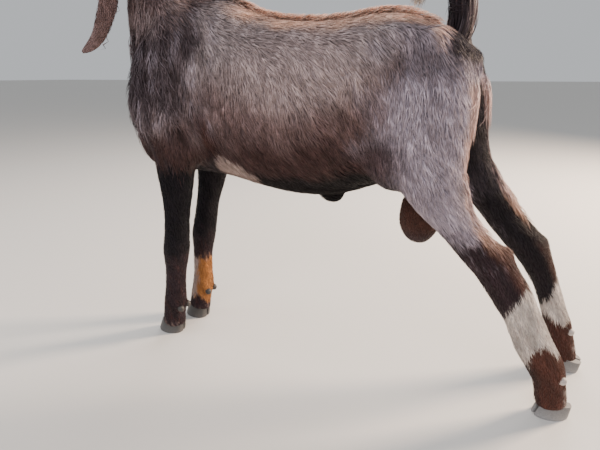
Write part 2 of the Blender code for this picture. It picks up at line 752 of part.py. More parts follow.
# Where the trunk is parted from the neck and legs: half length and half width of each thin plate
NECK_CUT_PLACE = Vector((0.005, 0, 0.785))
NECK_CUT_ALONG = Vector((0.77, 0, 0.64))
NECK_CUT_HALF = (0.30, 0.30)
ELBOW_CUT_OUT = 0.085
ELBOW_CUT_HEIGHT = 0.452
ELBOW_CUT_HALF = (0.075, 0.073)
KNEE_CUT_LEAN = 0.60
KNEE_CUT_OUT = 0.076
KNEE_CUT_HEIGHT = 0.266
KNEE_CUT_HALF = (0.060, 0.060)
THIGH_CUT_ROW = 4
THIGH_CUT_OFFSET = Vector((0.010, 0, 0.008))
THIGH_CUT_ALONG = Vector((0.84, 0, 0.54))
THIGH_CUT_HALF_LENGTH = {LEFT: 0.145, RIGHT: 0.155}
THIGH_CUT_INNER = 0.030
THIGH_CUT_HALF_WIDTH = 0.085
THIGH_CUT_HALF_DROP = 0.060
HOCK_CUT_ALONG = Vector((0.86, 0, 0.50))
HOCK_CUT_HALF = (0.075, 0.070)

# Roughly where the middle of each piece of the parted flesh lies
BODY_PLACES = {
    "torso": (0.33, 0, 0.66),
    "neck": (0.0, 0, 0.92),
    "fore_leg_upper_left": (0.05, -0.085, 0.36),
    "fore_leg_upper_right": (0.06, 0.085, 0.36),
    "fore_leg_lower_left": (0.0, -0.06, 0.14),
    "fore_leg_lower_right": (0.03, 0.06, 0.14),
    "hind_leg_upper_left": (0.76, -0.11, 0.43),
    "hind_leg_upper_right": (0.82, 0.11, 0.43),
    "hind_leg_lower_left": (0.92, -0.11, 0.18),
    "hind_leg_lower_right": (0.99, 0.11, 0.18),
}


def cut_plates(group):
    """Where the trunk, neck and legs are parted."""
    back = Vector((1, 0, 0))
    thin_plate(NECK_CUT_PLACE, NECK_CUT_ALONG, across_plane(NECK_CUT_ALONG), NECK_CUT_HALF, group)
    for side in (LEFT, RIGHT):
        foot = FORE_FOOT_BACK[side]
        reach = ELBOW_BACK[side] - foot
        elbow = Vector((foot + reach, side * ELBOW_CUT_OUT, ELBOW_CUT_HEIGHT))
        thin_plate(elbow, back, across_plane(back), ELBOW_CUT_HALF, group)
        knee = Vector((foot + reach * KNEE_CUT_LEAN, side * KNEE_CUT_OUT, KNEE_CUT_HEIGHT))
        thin_plate(knee, back, across_plane(back), KNEE_CUT_HALF, group)

        rows = HIND_LEG[side]
        normal = across_plane(THIGH_CUT_ALONG)
        long = THIGH_CUT_HALF_LENGTH[side]
        middle = Vector((rows[THIGH_CUT_ROW][0], 0, rows[THIGH_CUT_ROW][2])) + THIGH_CUT_OFFSET
        thigh = middle + Vector((0, side * (THIGH_CUT_INNER + THIGH_CUT_HALF_WIDTH), 0))
        thin_plate(thigh, THIGH_CUT_ALONG, normal, (long, THIGH_CUT_HALF_WIDTH), group)
        inside = middle + Vector((0, side * THIGH_CUT_INNER, 0)) - normal * (THIGH_CUT_HALF_DROP - GAP)
        thin_plate(inside, THIGH_CUT_ALONG, Vector((0, 1, 0)), (long, THIGH_CUT_HALF_DROP), group)
        thin_plate(sided(rows[HOCK_ROW], side), HOCK_CUT_ALONG, across_plane(HOCK_CUT_ALONG), HOCK_CUT_HALF, group)


def across_plane(along):
    """The upward normal of a plate that runs along a direction and straight across the goat."""
    return along.cross(Vector((0, 1, 0))).normalized()


def part_bodies(whole, places, group):
    """Name each body of the parted flesh by the place that it is nearest to."""
    bm = bmesh.new()
    bm.from_mesh(whole.data)
    found = {}
    for faces in closed_bodies(bm):
        area = sum(face.calc_area() for face in faces)
        centre = sum((face.calc_center_median() * face.calc_area() for face in faces), Vector()) / area
        name = min(places, key=lambda key: (Vector(places[key]) - centre).length)
        if name not in found or area > found[name][0]:
            found[name] = (area, [[vertex.co.copy() for vertex in face.verts] for face in faces])
    bm.free()
    made = {}
    for name, (_, corners) in found.items():
        part = bmesh.new()
        for corner in corners:
            part.faces.new([part.verts.new(point) for point in corner])
        bmesh.ops.remove_doubles(part, verts=part.verts, dist=1e-7)
        made[name] = add_object(name, mesh_from(part, name), group)
    bpy.data.objects.remove(whole, do_unlink=True)
    return made


def lock(points, outs, half_width, group):
    """A flat tapered lock: three-cornered rings at the given points, their ridge along outs."""
    rings = []
    for i, (point, out) in enumerate(zip(points, outs)):
        along = (points[min(i + 1, len(points) - 1)] - points[max(i - 1, 0)]).normalized()
        side = out.cross(along).normalized()
        out = along.cross(side)
        wide = half_width * LOCK_RINGS[i][2]
        thick = wide * LOCK_FLATNESS
        rings.append([point + side * wide, point + out * thick, point - side * wide])
    return loft("lock", rings, group)


def surface_tree(carrier):
    bm = bmesh.new()
    bm.from_mesh(carrier.data)
    tree = BVHTree.FromBMesh(bm)
    bm.free()
    return tree


def combed_lock(tree, start, lie, curl, length, half_width, lift, group):
    """A lock along the coat: rooted in the nearest surface, it follows that surface, bends and rises."""
    place, out = tree.find_nearest(start)[:2]
    points, outs = [], []
    reached = 0
    for along, rise, _ in LOCK_RINGS:
        aim = lie + out.cross(lie) * curl * along
        aim = (aim - out * aim.dot(out)).normalized()
        place, out = tree.find_nearest(place + aim * (length * (along - reached)))[:2]
        reached = along
        height = -LOCK_SINK if rise < 0 else lift * rise
        points.append(place + out * height)
        outs.append(out)
    return lock(points, outs, half_width, group)


def spread(chance, most):
    return chance.uniform(-most, most)


def combed_rows(carrier, rows, sides, chance, group):
    """Rows of locks over a carrier, each between two places, a little varied."""
    tree = surface_tree(carrier)
    for start, end, count, lie, length, half_width, lift in rows:
        for side in sides:
            for i in range(count):
                share = (i + spread(chance, LOCK_PLACE_STRAY)) / (count - 1)
                place = sided(start, side).lerp(sided(end, side), share)
                aim = sided(lie, side) + Vector((spread(chance, LOCK_STRAY), spread(chance, LOCK_STRAY), 0))
                long = length * chance.uniform(*LOCK_LENGTHS)
                wide = half_width * chance.uniform(*LOCK_WIDTHS)
                curl = spread(chance, LOCK_CURL)
                combed_lock(tree, place, aim.normalized(), curl, long, wide, lift, group)


def beard(head, chance, group):
    """Locks that hang from the chin."""
    tree = surface_tree(head)
    up = HEAD.to_3x3() @ Vector((0, 0, 1))
    for along, count, wide, length in BEARD:
        for i in range(count):
            across = wide * (2 * i / (count - 1) - 1)
            below = HEAD @ Vector((along, across, -CLEAR_OF_FACE * 1.5))
            root = tree.ray_cast(below, up)[0]
            swing = chance.uniform(*BEARD_SWING)
            gather = spread(chance, BEARD_STRAY) - across * BEARD_GATHER
            fall = Vector((swing, gather, -1)).normalized()
            out = Vector((-0.5 if along > BEARD[2][0] else 0.5, -across / wide, 0)).normalized()
            long = min(length * chance.uniform(*LOCK_WIDTHS), (root.z - BEARD_LOWEST) / -fall.z)
            bend = Vector((chance.uniform(*BEARD_BEND), spread(chance, BEARD_SIDE_BEND), 0)) * long
            points, outs = [], []
            for share, rise, _ in LOCK_RINGS:
                point = root + fall * (long * share) + bend * share**2
                points.append(point - fall * BEARD_SINK if rise < 0 else point)
                outs.append(out)
            lock(points, outs, BEARD_HALF_WIDTH * chance.uniform(*LOCK_WIDTHS), group)


def forelock(head, chance, group):
    """Locks that lie forward over the forehead from between the horns."""
    tree = surface_tree(head)
    turn = HEAD.to_3x3()
    for along, count, wide, length, half_width in FORELOCK:
        for i in range(count):
            across = wide * (2 * i / max(count - 1, 1) - 1)
            start = HEAD @ Vector((along, across, FORELOCK_ABOVE))
            lie = turn @ Vector((1, across * FORELOCK_FAN + spread(chance, LOCK_STRAY), -0.3)).normalized()
            long = length * chance.uniform(*LOCK_LENGTHS)
            half = half_width * chance.uniform(*LOCK_WIDTHS)
            combed_lock(tree, start, lie, spread(chance, LOCK_CURL), long, half, FORELOCK_LIFT, group)


def facing(aim):
    """Three directions from an aim: level across, upwards and outwards."""
    out = aim.normalized()
    across = Vector((0, 0, 1)).cross(out).normalized()
    return Matrix((across, out.cross(across), out)).transposed()


def eyeball(name, side, group, radius=EYE_RADIUS):
    piece = ball(name, sided(EYE_PLACE, side), (radius,) * 3, group, rings=6)
    piece.data.transform(HEAD)
    return piece


def lid_opening(side, group):
    """An almond prism from the eyeball's centre outwards, which opens the lids."""
    turn = facing(sided(EYE_AIM, side))
    rings = []
    for depth, size in ((0.004, 0.90), (0.012, 1.0), (0.030, 1.45)):
        ring = []
        for k in range(12):
            angle = math.tau * k / 12
            up = math.sin(angle)
            flat = Vector((math.cos(angle) * LID_HALF_OPENING[0], up * abs(up) ** 0.4 * LID_HALF_OPENING[1], 0))
            ring.append(sided(EYE_PLACE, side) + turn @ (flat * size + Vector((0, 0, depth))))
        rings.append(ring)
    piece = loft("lid_opening", rings, group)
    piece.data.transform(HEAD)
    return piece


def nostril(head, side, group):
    """A slanting slit in the wing of the nose."""
    aim = sided(NOSTRIL_AIM, side).normalized()
    turn = facing(aim) @ Matrix.Rotation(side * NOSTRIL_SLANT, 3, "Z")
    far = HEAD @ (NOSE_CENTRE + aim * CLEAR_OF_FACE)
    place = HEAD.inverted() @ surface_tree(head).ray_cast(far, HEAD.to_3x3() @ -aim)[0]
    piece = ball("nostril", place, NOSTRIL_HALF_SIZE, group, turn=turn, rings=6)
    piece.data.transform(HEAD)
    return piece


def mouth_cutter(head, group):
    """A thin blade round the muzzle at the height of the lips, as deep as the mouth line."""
    tree = surface_tree(head)
    turn = HEAD.to_3x3()
    lift = turn @ Vector((0, 0, 1))
    rings = []
    for i in range(MOUTH_RINGS):
        share = 2 * i / (MOUTH_RINGS - 1) - 1
        swing = share * MOUTH_SWING
        aim = turn @ Vector((math.cos(swing), math.sin(swing), 0))
        start = HEAD @ MOUTH_START + lift * MOUTH_CORNER_RISE * share**2
        hit = tree.ray_cast(start, aim)[0]
        inner = hit - aim * MOUTH_DEPTH * (1 - MOUTH_CORNER_FADE * abs(share) ** 3)
        outer = hit + aim * MOUTH_OUTSIDE
        rings.append([inner, outer - lift * MOUTH_HALF_GAPE, outer + lift * MOUTH_HALF_GAPE])
    return loft("mouth", rings, group)


def horn(name, side, group):
    """A flattened horn that twists outwards as it tapers."""
    rows = smooth_rows(HORN, 3)
    points = [Vector((row[0], side * row[1], row[2])) for row in rows]
    rings = []
    for i, row in enumerate(rows):
        along = (points[min(i + 1, len(points) - 1)] - points[max(i - 1, 0)]).normalized()
        sideways = along.cross(Vector((1, 0, 0))).normalized()
        forward = sideways.cross(along).normalized()
        share = i / (len(rows) - 1)
        turn = Matrix.Rotation(-side * HORN_TWIST * share, 3, along)
        sideways = turn @ sideways
        forward = turn @ forward
        ring = []
        for k in range(HORN_SIDES):
            angle = math.tau * k / HORN_SIDES
            keel = HORN_KEEL if k == 0 else 1.0
            deep = forward * (row[3] * keel * math.cos(angle))
            ring.append(HEAD @ (points[i] + deep + sideways * (row[4] * math.sin(angle))))
        rings.append(ring)
    return loft(name, rings, group)


def ear(name, side, rows, group):
    """A long hanging ear: a leaf rolled into a cup at its root, its hollow side inwards."""
    across_count = 4
    path = smooth_rows(rows, 2)
    points = [Vector((row[0], side * row[1], row[2])) for row in path]
    bm = bmesh.new()
    grid = []
    for i, row in enumerate(path):
        along = (points[min(i + 1, len(points) - 1)] - points[max(i - 1, 0)]).normalized()
        share = min(i / (len(path) - 1) / 0.3, 1)
        outward = Vector((0.35, side * 0.5, 0.8)).lerp(Vector((0.1, side, 0)), share)
        across = along.cross(outward).normalized()
        outward = across.cross(along).normalized()
        roll = math.radians(row[4])
        radius = row[3] / roll
        line = []
        for k in range(across_count + 1):
            angle = roll * (2 * k / across_count - 1)
            bow = outward * (radius * (math.cos(angle) - 1))
            line.append(bm.verts.new(points[i] + across * (radius * math.sin(angle)) + bow))
        grid.append(line)
    for one, two in zip(grid, grid[1:]):
        for k in range(across_count):
            bm.faces.new((one[k], one[k + 1], two[k + 1], two[k]))
    bmesh.ops.triangulate(bm, faces=bm.faces)
    made = add_object(name, mesh_from(bm, name), group)
    wall = made.modifiers.new("wall", "SOLIDIFY")
    wall.thickness = EAR_THICKNESS
    wall.offset = 0
    apply_modifiers(made)
    return made


def claw(name, foot, turn, inner, group):
    """One of a hoof's two claws: a flat sole, a pointed toe and a wall that leans in."""
    middle = CLAW_WIDTH * 0.45
    levels = (
        (0.0, CLAW_SOLE_SIZE, 0.0, 0.0),
        (CLAW_SOLE_EDGE, 1.0, 0.0, 0.0),
        (CLAW_HEIGHT, CLAW_TOP_SIZE, CLAW_TOP_BACK, CLAW_HEEL_DROP * CLAW_HEIGHT),
    )
    rings = []
    for height, size, back, drop in levels:
        ring = []
        for along, out in CLAW_OUTLINE:
            x = back + along * CLAW_LENGTH * size
            y = CLAW_CLEFT / 2 + out * (CLAW_WIDTH - CLAW_CLEFT / 2)
            y = inner * (middle + (y - middle) * size)
            ring.append(foot + turn @ Vector((x, y, height - drop * (along + 0.5))))
        rings.append(ring)
    return loft(name, rings, group)


def tail_locks(chance, group):
    """Tufts of locks round the tail's core, all but along its bare underside."""
    path = smooth_rows(TAIL, TAIL_STEPS)
    swing = math.pi - TAIL_BARE_HALF_ANGLE
    for start, count, reach in TAIL_TUFTS:
        for i in range(count):
            angle = swing * (2 * (i + 0.5) / count - 1) + spread(chance, LOCK_STRAY)
            first = start + spread(chance, LOCK_STRAY)
            tip = reach * chance.uniform(*LOCK_WIDTHS)
            points, outs = [], []
            for share, rise, _ in LOCK_RINGS:
                at = (first + TAIL_LOCK_ROWS * share) * TAIL_STEPS
                low = min(int(at), len(path) - 2)
                row = path[low] + (path[low + 1] - path[low]) * (at - low)
                along = Vector((path[low + 1] - path[low])[:3]).normalized()
                deep = along.cross(Vector((0, 1, 0))).normalized()
                wide = along.cross(deep)
                out = (deep * math.cos(angle) + wide * math.sin(angle)).normalized()
                core = min(row[3], row[4])
                height = core - TAIL_LOCK_SINK if rise < 0 else core + (tip - core) * min(rise, 1) * TAIL_LOCK_RISE
                points.append(Vector(row[:3]) + out * height)
                outs.append(out)
            lock(points, outs, TAIL_LOCK_HALF_WIDTH * chance.uniform(*LOCK_WIDTHS), group)


def tail(chance, masses, group):
    """The tail with its hair in two lengths, parted square to its path."""
    path = smooth_rows(TAIL, 2)
    whole = oval_limb("tail_root", TAIL, group, steps=2, sides=10)
    tail_locks(chance, masses)
    cut_or_join(whole, masses, "UNION")
    keep_largest(whole)
    remove_objects(masses)
    middle = Vector(path[2 * TAIL_PARTING][:3])
    along = (Vector(path[2 * TAIL_PARTING + 1][:3]) - Vector(path[2 * TAIL_PARTING - 1][:3])).normalized()
    end = add_object("tail_end", whole.data.copy(), group)
    cut_by_plane(whole, middle - along * GAP / 2, -along)
    cut_by_plane(end, middle + along * GAP / 2, along)
    return whole


def coronet_cut(leg, foot, turn):
    """Cut a leg off flat just above its two claws."""
    drop = CLAW_HEEL_DROP * CLAW_HEIGHT
    normal = turn @ Vector((drop / (CLAW_LENGTH * CLAW_TOP_SIZE), 0, 1)).normalized()
    place = foot + turn @ Vector((CLAW_TOP_BACK, 0, CLAW_HEIGHT - drop / 2)) + normal * GAP
    cut_by_plane(leg, place, normal)


def build():
    goat = collection("billy_goat")
    cutters = collection("cutters")
    masses = collection("masses")

    trunk(masses)
    neck(masses)
    for side in (LEFT, RIGHT):
        fore_leg(side, masses)
        hind_leg(side, masses)
    skull = [squared_ring(*row) for row in smooth_rows(FACE, 2)]
    loft("skull", skull, masses).data.transform(HEAD)
    body = fused_flesh("body", masses, BODY_VOXEL, BODY_SMOOTHING, TRUNK_SMOOTHING, BODY_FACES, goat)

    chance = random.Random(LOCK_SEED)
    combed_rows(body, BODY_LOCKS.values(), (LEFT, RIGHT), chance, masses)
    for side, row in LEG_LOCKS.items():
        combed_rows(body, [row], [side], chance, masses)
    cut_or_join(body, masses, "UNION")
    keep_largest(body)
    remove_objects(masses)

    face(masses)
    neck(masses)
    head = fused_flesh("head", masses, HEAD_VOXEL, HEAD_SMOOTHING, 1, HEAD_FACES, goat)

    across_throat = (POLL - THROAT).normalized()
    forward = across_throat.cross(Vector((0, 1, 0)))
    forward = forward if forward.x < 0 else -forward
    cut_by_plane(head, THROAT + forward * GAP / 2, forward)
    cut_by_plane(body, THROAT - forward * GAP / 2, -forward)

    cut_plates(cutters)
    cut_or_join(body, cutters, "DIFFERENCE")
    remove_objects(cutters)
    parts = part_bodies(body, BODY_PLACES, goat)

    for word, side in HEAD_SIDES.items():
        made = horn("horn_" + word, side, goat)
        trim_against(made, head, cutters)
        made = ear("ear_" + word, -side, LEFT_EAR if word == "left" else RIGHT_EAR, goat)
        trim_against(made, head, cutters)
    carve_head(head, chance, masses, goat)

    tail_root = tail(chance, masses, goat)
    trim_against(tail_root, parts["torso"], cutters)
    scrotum = oval_limb("scrotum", SCROTUM, goat, steps=2, sides=14)
    trim_against(scrotum, parts["torso"], cutters)

    feet = {
        "fore_left": (FORE_FOOT_BACK[LEFT], LEFT * FORE_FOOT_OUT, "fore_leg_lower_left"),
        "fore_right": (FORE_FOOT_BACK[RIGHT], RIGHT * FORE_FOOT_OUT, "fore_leg_lower_right"),
        "hind_left": (*sided(HIND_LEG[LEFT][-1], LEFT).xy, "hind_leg_lower_left"),
        "hind_right": (*sided(HIND_LEG[RIGHT][-1], RIGHT).xy, "hind_leg_lower_right"),
    }
    for foot, (x, y, leg) in feet.items():
        place = Vector((x - CLAW_AHEAD[foot[:4]], y, 0))
        outward = -1 if y > 0 else 1
        turn = Matrix.Rotation(outward * math.radians(TOES_OUT[foot]), 3, "Z")
        for inner, which in ((1, "a"), (-1, "b")):
            claw("claw_" + foot + "_" + which, place, turn, inner, goat)
        coronet_cut(parts[leg], place, turn)

    finish(goat)
    bpy.data.collections.remove(masses)
    bpy.data.collections.remove(cutters)


def carve_head(head, chance, masses, goat):
    """Lids, eyes, nostrils, the line of the mouth, beard and forelock."""
    beard(head, chance, masses)
    forelock(head, chance, masses)
    cut_or_join(head, masses, "UNION")
    keep_largest(head)
    remove_objects(masses)
    for word, side in HEAD_SIDES.items():
        eyeball("eye_" + word, side, goat).data.shade_smooth()
        eyeball("socket", side, masses, EYE_RADIUS + GAP)
        lid_opening(side, masses)
        nostril(head, side, masses)
    mouth_cutter(head, masses)
    cut_or_join(head, masses, "DIFFERENCE")
    remove_objects(masses)
    keep_largest(head)


FINISHES = {
    "eye": "eye",
    "horn": "horn",
    "claw": "hoof",
    "ear": "leg",
    "fore_leg": "leg",
    "hind_leg_lower": "leg",
    "scrotum": "skin",
    "tail_end": "white",
}


def finish(goat):
    """Each piece gets its material and moves to the shared origin."""
    for piece in goat.objects:
        kinds = [kind for start, kind in FINISHES.items() if piece.name.startswith(start)]
        piece.data.materials.clear()
        piece.data.materials.append(material(kinds[0] if kinds else "coat", piece.name))
        keep_largest(piece, triangles=True)
        piece.data.transform(Matrix.Translation(-ORIGIN_FROM_FORE_FEET))


for old in list(bpy.data.objects):
    bpy.data.objects.remove(old, do_unlink=True)
build()
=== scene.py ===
# %% [markdown]
# # A life-size billy goat
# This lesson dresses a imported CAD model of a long-eared billy goat. The CAD solids fix every
# size and place. Here they get one soft skin, a coat of solid tufts, wet eyes, ridged horns and
# worn hooves. All lengths are metres, +Z is up, and the goat faces -X.

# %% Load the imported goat
import json
import math
import random

import bmesh
import bpy
import numpy as np
from mathutils import Matrix, Vector
from mathutils.bvhtree import BVHTree

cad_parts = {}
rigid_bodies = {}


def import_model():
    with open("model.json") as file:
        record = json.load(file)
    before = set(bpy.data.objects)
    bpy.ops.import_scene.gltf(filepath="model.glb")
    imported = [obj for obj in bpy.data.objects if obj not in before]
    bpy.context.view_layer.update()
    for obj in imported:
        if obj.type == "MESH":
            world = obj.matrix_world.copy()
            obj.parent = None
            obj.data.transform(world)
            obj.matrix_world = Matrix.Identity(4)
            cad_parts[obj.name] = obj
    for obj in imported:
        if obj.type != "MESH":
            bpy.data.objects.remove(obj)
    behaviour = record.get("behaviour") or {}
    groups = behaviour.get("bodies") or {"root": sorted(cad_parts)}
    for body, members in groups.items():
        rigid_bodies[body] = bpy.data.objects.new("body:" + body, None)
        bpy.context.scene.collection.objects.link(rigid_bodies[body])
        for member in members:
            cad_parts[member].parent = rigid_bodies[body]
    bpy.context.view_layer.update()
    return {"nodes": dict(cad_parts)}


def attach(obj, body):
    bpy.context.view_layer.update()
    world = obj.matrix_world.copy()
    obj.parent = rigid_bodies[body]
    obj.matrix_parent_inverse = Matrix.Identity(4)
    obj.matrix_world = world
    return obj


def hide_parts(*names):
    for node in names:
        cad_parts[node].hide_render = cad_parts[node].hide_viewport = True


for startup_object in list(bpy.data.objects):
    bpy.data.objects.remove(startup_object, do_unlink=True)
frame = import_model()

# %% [markdown]
# ## Where things stand
# The tables below measure x back from the middle of the two fore feet, because a goat is easiest
# to describe from where it stands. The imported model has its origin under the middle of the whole
# animal, so every finished mesh is shifted by the same amount.

# %% Frame of the tables
FROM_FORE_FEET = Vector((0.38595, 0.0, 0.0))
LEFT, RIGHT = BOTH = (-1, 1)
SIDES = {"left": LEFT, "right": RIGHT}
SEED = 7


def placed(mesh):
    """Shift a mesh from the tables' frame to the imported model's."""
    mesh.transform(Matrix.Translation(-FROM_FORE_FEET))
    return mesh


def goat_object(name, mesh):
    made = bpy.data.objects.new(name, mesh)
    bpy.context.scene.collection.objects.link(made)
    return made


print("tables start at the fore feet,", FROM_FORE_FEET.x, "m ahead of the origin")

# %% [markdown]
# ## Camera
# The photograph was taken 0.72 m above the ground, about 0.9 m off the goat's near side and a
# little behind its middle. A 27 mm lens on a 36 mm sensor gives the same view.

# %% Camera at the photograph's place
camera_data = bpy.data.cameras.new("photo_camera")
camera_data.lens = 27.06
camera_data.sensor_width = 36.0
camera = bpy.data.objects.new("photo_camera", camera_data)
camera.location = (0.33005, -1.054, 0.72)
camera.rotation_euler = (math.radians(71.6), 0.0, math.radians(18.6))
bpy.context.scene.collection.objects.link(camera)
bpy.context.scene.camera = camera
print("camera at", tuple(round(x, 3) for x in camera.location))

# %% [markdown]
# ## Light and floor
# A plain pale floor and soft light show the form. A warm lamp low behind the rump gives the lit
# fringe along the back and the rear edges of the legs, a large one above it the sky's light, a
# broad one beside the camera fills the near side, and the world gives the rest. The markings
# paint more of that fringe in, as a warm rim light.


# %% Lamps, world and floor
def area_lamp(name, place, aim, size, watts, colour):
    lamp = bpy.data.lights.new(name, "AREA")
    lamp.shape = "RECTANGLE"
    lamp.size, lamp.size_y = size
    lamp.energy = watts
    lamp.color = colour
    made = bpy.data.objects.new(name, lamp)
    made.location = place
    made.rotation_euler = (Vector(aim) - Vector(place)).to_track_quat("-Z", "Y").to_euler()
    bpy.context.scene.collection.objects.link(made)
    return made


GOAT_MIDDLE = (0.1, 0.0, 0.6)
area_lamp("low_sun", (3.4, 2.3, 2.0), GOAT_MIDDLE, (0.9, 0.9), 580, (1.0, 0.77, 0.58))
area_lamp("sky_behind", (0.3, 2.4, 3.2), GOAT_MIDDLE, (2.6, 2.0), 115, (1.0, 0.95, 0.92))
area_lamp("broad_front", (0.6, -3.4, 2.6), GOAT_MIDDLE, (3.2, 2.4), 105, (1.0, 0.97, 1.0))
area_lamp("from_the_head", (-3.0, -1.2, 2.4), GOAT_MIDDLE, (2.4, 2.0), 34, (1.0, 1.0, 1.0))

world = bpy.data.worlds.new("pale_room")
world.use_nodes = True
world.node_tree.nodes["Background"].inputs["Color"].default_value = (0.90, 0.93, 0.97, 1)
world.node_tree.nodes["Background"].inputs["Strength"].default_value = 0.62
bpy.context.scene.world = world

floor_mesh = bpy.data.meshes.new("floor")
REACH = 60.0
corners = [(-REACH, -REACH, 0), (REACH, -REACH, 0), (REACH, REACH, 0), (-REACH, REACH, 0)]
floor_mesh.from_pydata(corners, [], [(0, 1, 2, 3)])
floor = goat_object("floor", floor_mesh)
floor_paint = bpy.data.materials.new("pale_floor")
floor_paint.use_nodes = True
floor_shader = floor_paint.node_tree.nodes["Principled BSDF"]
floor_shader.inputs["Base Color"].default_value = (0.62, 0.60, 0.57, 1)
floor_shader.inputs["Roughness"].default_value = 0.9
floor_mesh.materials.append(floor_paint)

# %% [markdown]
# ## Making flesh
# A goat's body is a set of rounded masses under one skin. The way used here is the sculptor's:
# lay tapered limbs, balls and squared sections into each other, melt them together with a voxel
# remesh, and smooth the result. The same measured tables as the CAD solids drive it, so the skin
# can't drift away from them. Only the voxels are finer.

# %% Helpers for rounded shapes


def curve_point(a, b, c, d, t):
    """The place t of the way from b to c on a smooth curve through a, b, c and d."""
    cubic = (3 * b - a - 3 * c + d) * t**3
    return 0.5 * (2 * b + (c - a) * t + (2 * a - 5 * b + 4 * c - d) * t * t + cubic)


def smooth_rows(rows, steps):
    """Rows of numbers on a smooth curve through the given rows, steps to a span."""
    table = np.array(rows, float)
    padded = np.vstack([2 * table[0] - table[1], table, 2 * table[-1] - table[-2]])
    spans = range(len(table) - 1)
    made = [curve_point(*padded[i : i + 4], step / steps) for i in spans for step in range(steps)]
    return made + [table[-1]]


def heading(points, i):
    """The direction of a path at its i-th point."""
    return (points[min(i + 1, len(points) - 1)] - points[max(i - 1, 0)]).normalized()


def add_rings(bm, rings):
    """A closed body through rings of equally many points."""
    rows = [[bm.verts.new(point) for point in ring] for ring in rings]
    count = len(rows[0])
    made = []
    for one, two in zip(rows, rows[1:]):
        for i in range(count):
            j = (i + 1) % count
            made.append(bm.faces.new((one[i], one[j], two[j], two[i])))
    made.append(bm.faces.new(list(reversed(rows[0]))))
    made.append(bm.faces.new(rows[-1]))
    return made


def add_limb(bm, rows, steps=4, sides=24):
    """A tapering limb: oval rings square to a path of x, y, z, half depth and half width."""
    path = smooth_rows(rows, steps)
    points = [Vector(row[:3]) for row in path]
    angles = [math.tau * k / sides for k in range(sides)]
    rings = []
    for i, row in enumerate(path):
        along = heading(points, i)
        deep = along.cross(Vector((0, 1, 0))).normalized()
        wide = along.cross(deep)
        ring = [points[i] + deep * (row[3] * math.cos(a)) + wide * (row[4] * math.sin(a)) for a in angles]
        rings.append(ring)
    return add_rings(bm, rings)


def squared_ring(place, top, bottom, half_width, widest, upper, lower, sides=40):
    """One upright section: top, underside, half width, widest height, squareness above and below."""
    ring = []
    for k in range(sides):
        angle = math.tau * k / sides
        across, up = math.cos(angle), math.sin(angle)
        power = 2 / (upper if up > 0 else lower)
        reach = (top - widest) if up > 0 else (widest - bottom)
        y = half_width * math.copysign(abs(across) ** power, across)
        z = widest + reach * math.copysign(abs(up) ** power, up)
        ring.append(Vector((place, y, z)))
    return ring


def add_ball(bm, centre, sizes, turn=None, rings=14):
    """A ball whose faces come in one fixed order, so that every run gives the same goat."""
    place = Matrix.Translation(centre)
    if turn is not None:
        place = place @ turn.to_4x4()
    place = place @ Matrix.Diagonal((*sizes, 1))
    ball = bmesh.new()
    bmesh.ops.create_uvsphere(ball, u_segments=rings + 6, v_segments=rings, radius=1, matrix=place)
    ball.verts.index_update()
    faces = []
    for face in ball.faces:
        numbers = [vertex.index for vertex in face.verts]
        first = numbers.index(min(numbers))
        faces.append(numbers[first:] + numbers[:first])
    points = [bm.verts.new(vertex.co) for vertex in ball.verts]
    for numbers in sorted(faces):
        bm.faces.new([points[i] for i in numbers])
    ball.free()


def sided(place, side):
    return Vector((place[0], side * place[1], place[2]))


def sided_rows(rows, side):
    return [(row[0], side * row[1], *row[2:]) for row in rows]


def opened(mesh):
    """A mesh ready for editing."""
    bm = bmesh.new()
    bm.from_mesh(mesh)
    return bm


def written_back(bm, mesh):
    bm.to_mesh(mesh)
    bm.free()
    return mesh


def mesh_of(bm, name):
    bm.normal_update()
    bmesh.ops.recalc_face_normals(bm, faces=bm.faces)
    return written_back(bm, bpy.data.meshes.new(name))


def mesh_arrays(mesh):
    """A mesh's points and their normals."""
    places, normals = np.empty((2, len(mesh.vertices) * 3))
    mesh.vertices.foreach_get("co", places)
    mesh.vertices.foreach_get("normal", normals)
    return places.reshape(-1, 3), normals.reshape(-1, 3)


def applied(piece):
    """Make the piece's mesh what its modifiers show."""
    bpy.context.view_layer.update()
    seen = piece.evaluated_get(bpy.context.evaluated_depsgraph_get())
    mesh = bpy.data.meshes.new_from_object(seen)
    piece.modifiers.clear()
    piece.data = mesh
    return piece


def add_smoothing(piece, rounds):
    smooth = piece.modifiers.new("soft", "SMOOTH")
    smooth.factor = 0.5
    smooth.iterations = rounds
    return smooth


def melted(bm, name, voxel, rounds):
    """The shapes in bm melted into one even, smoothed skin."""
    piece = goat_object(name, mesh_of(bm, name))
    remesh = piece.modifiers.new("even", "REMESH")
    remesh.mode = "VOXEL"
    remesh.voxel_size = voxel
    add_smoothing(piece, rounds)
    return applied(piece)


def lightened(piece, share):
    """Keep a share of the triangles, dropping them where the surface is flattest."""
    fewer = piece.modifiers.new("fewer", "DECIMATE")
    fewer.ratio = share
    return applied(piece)


print("shape helpers ready")

# %% [markdown]
# ## The body's measures
# These are the sizes of a stretched, standing Beetal-type buck: deep chest, tucked loin, long
# slim legs, the hind ones set far back. Each table is read like a tailor's: down the rows along
# the animal, across them its sizes there.

# %% Tables of the trunk and neck
WITHERS_HEIGHT = 0.908
LOIN_HEIGHT = 0.838

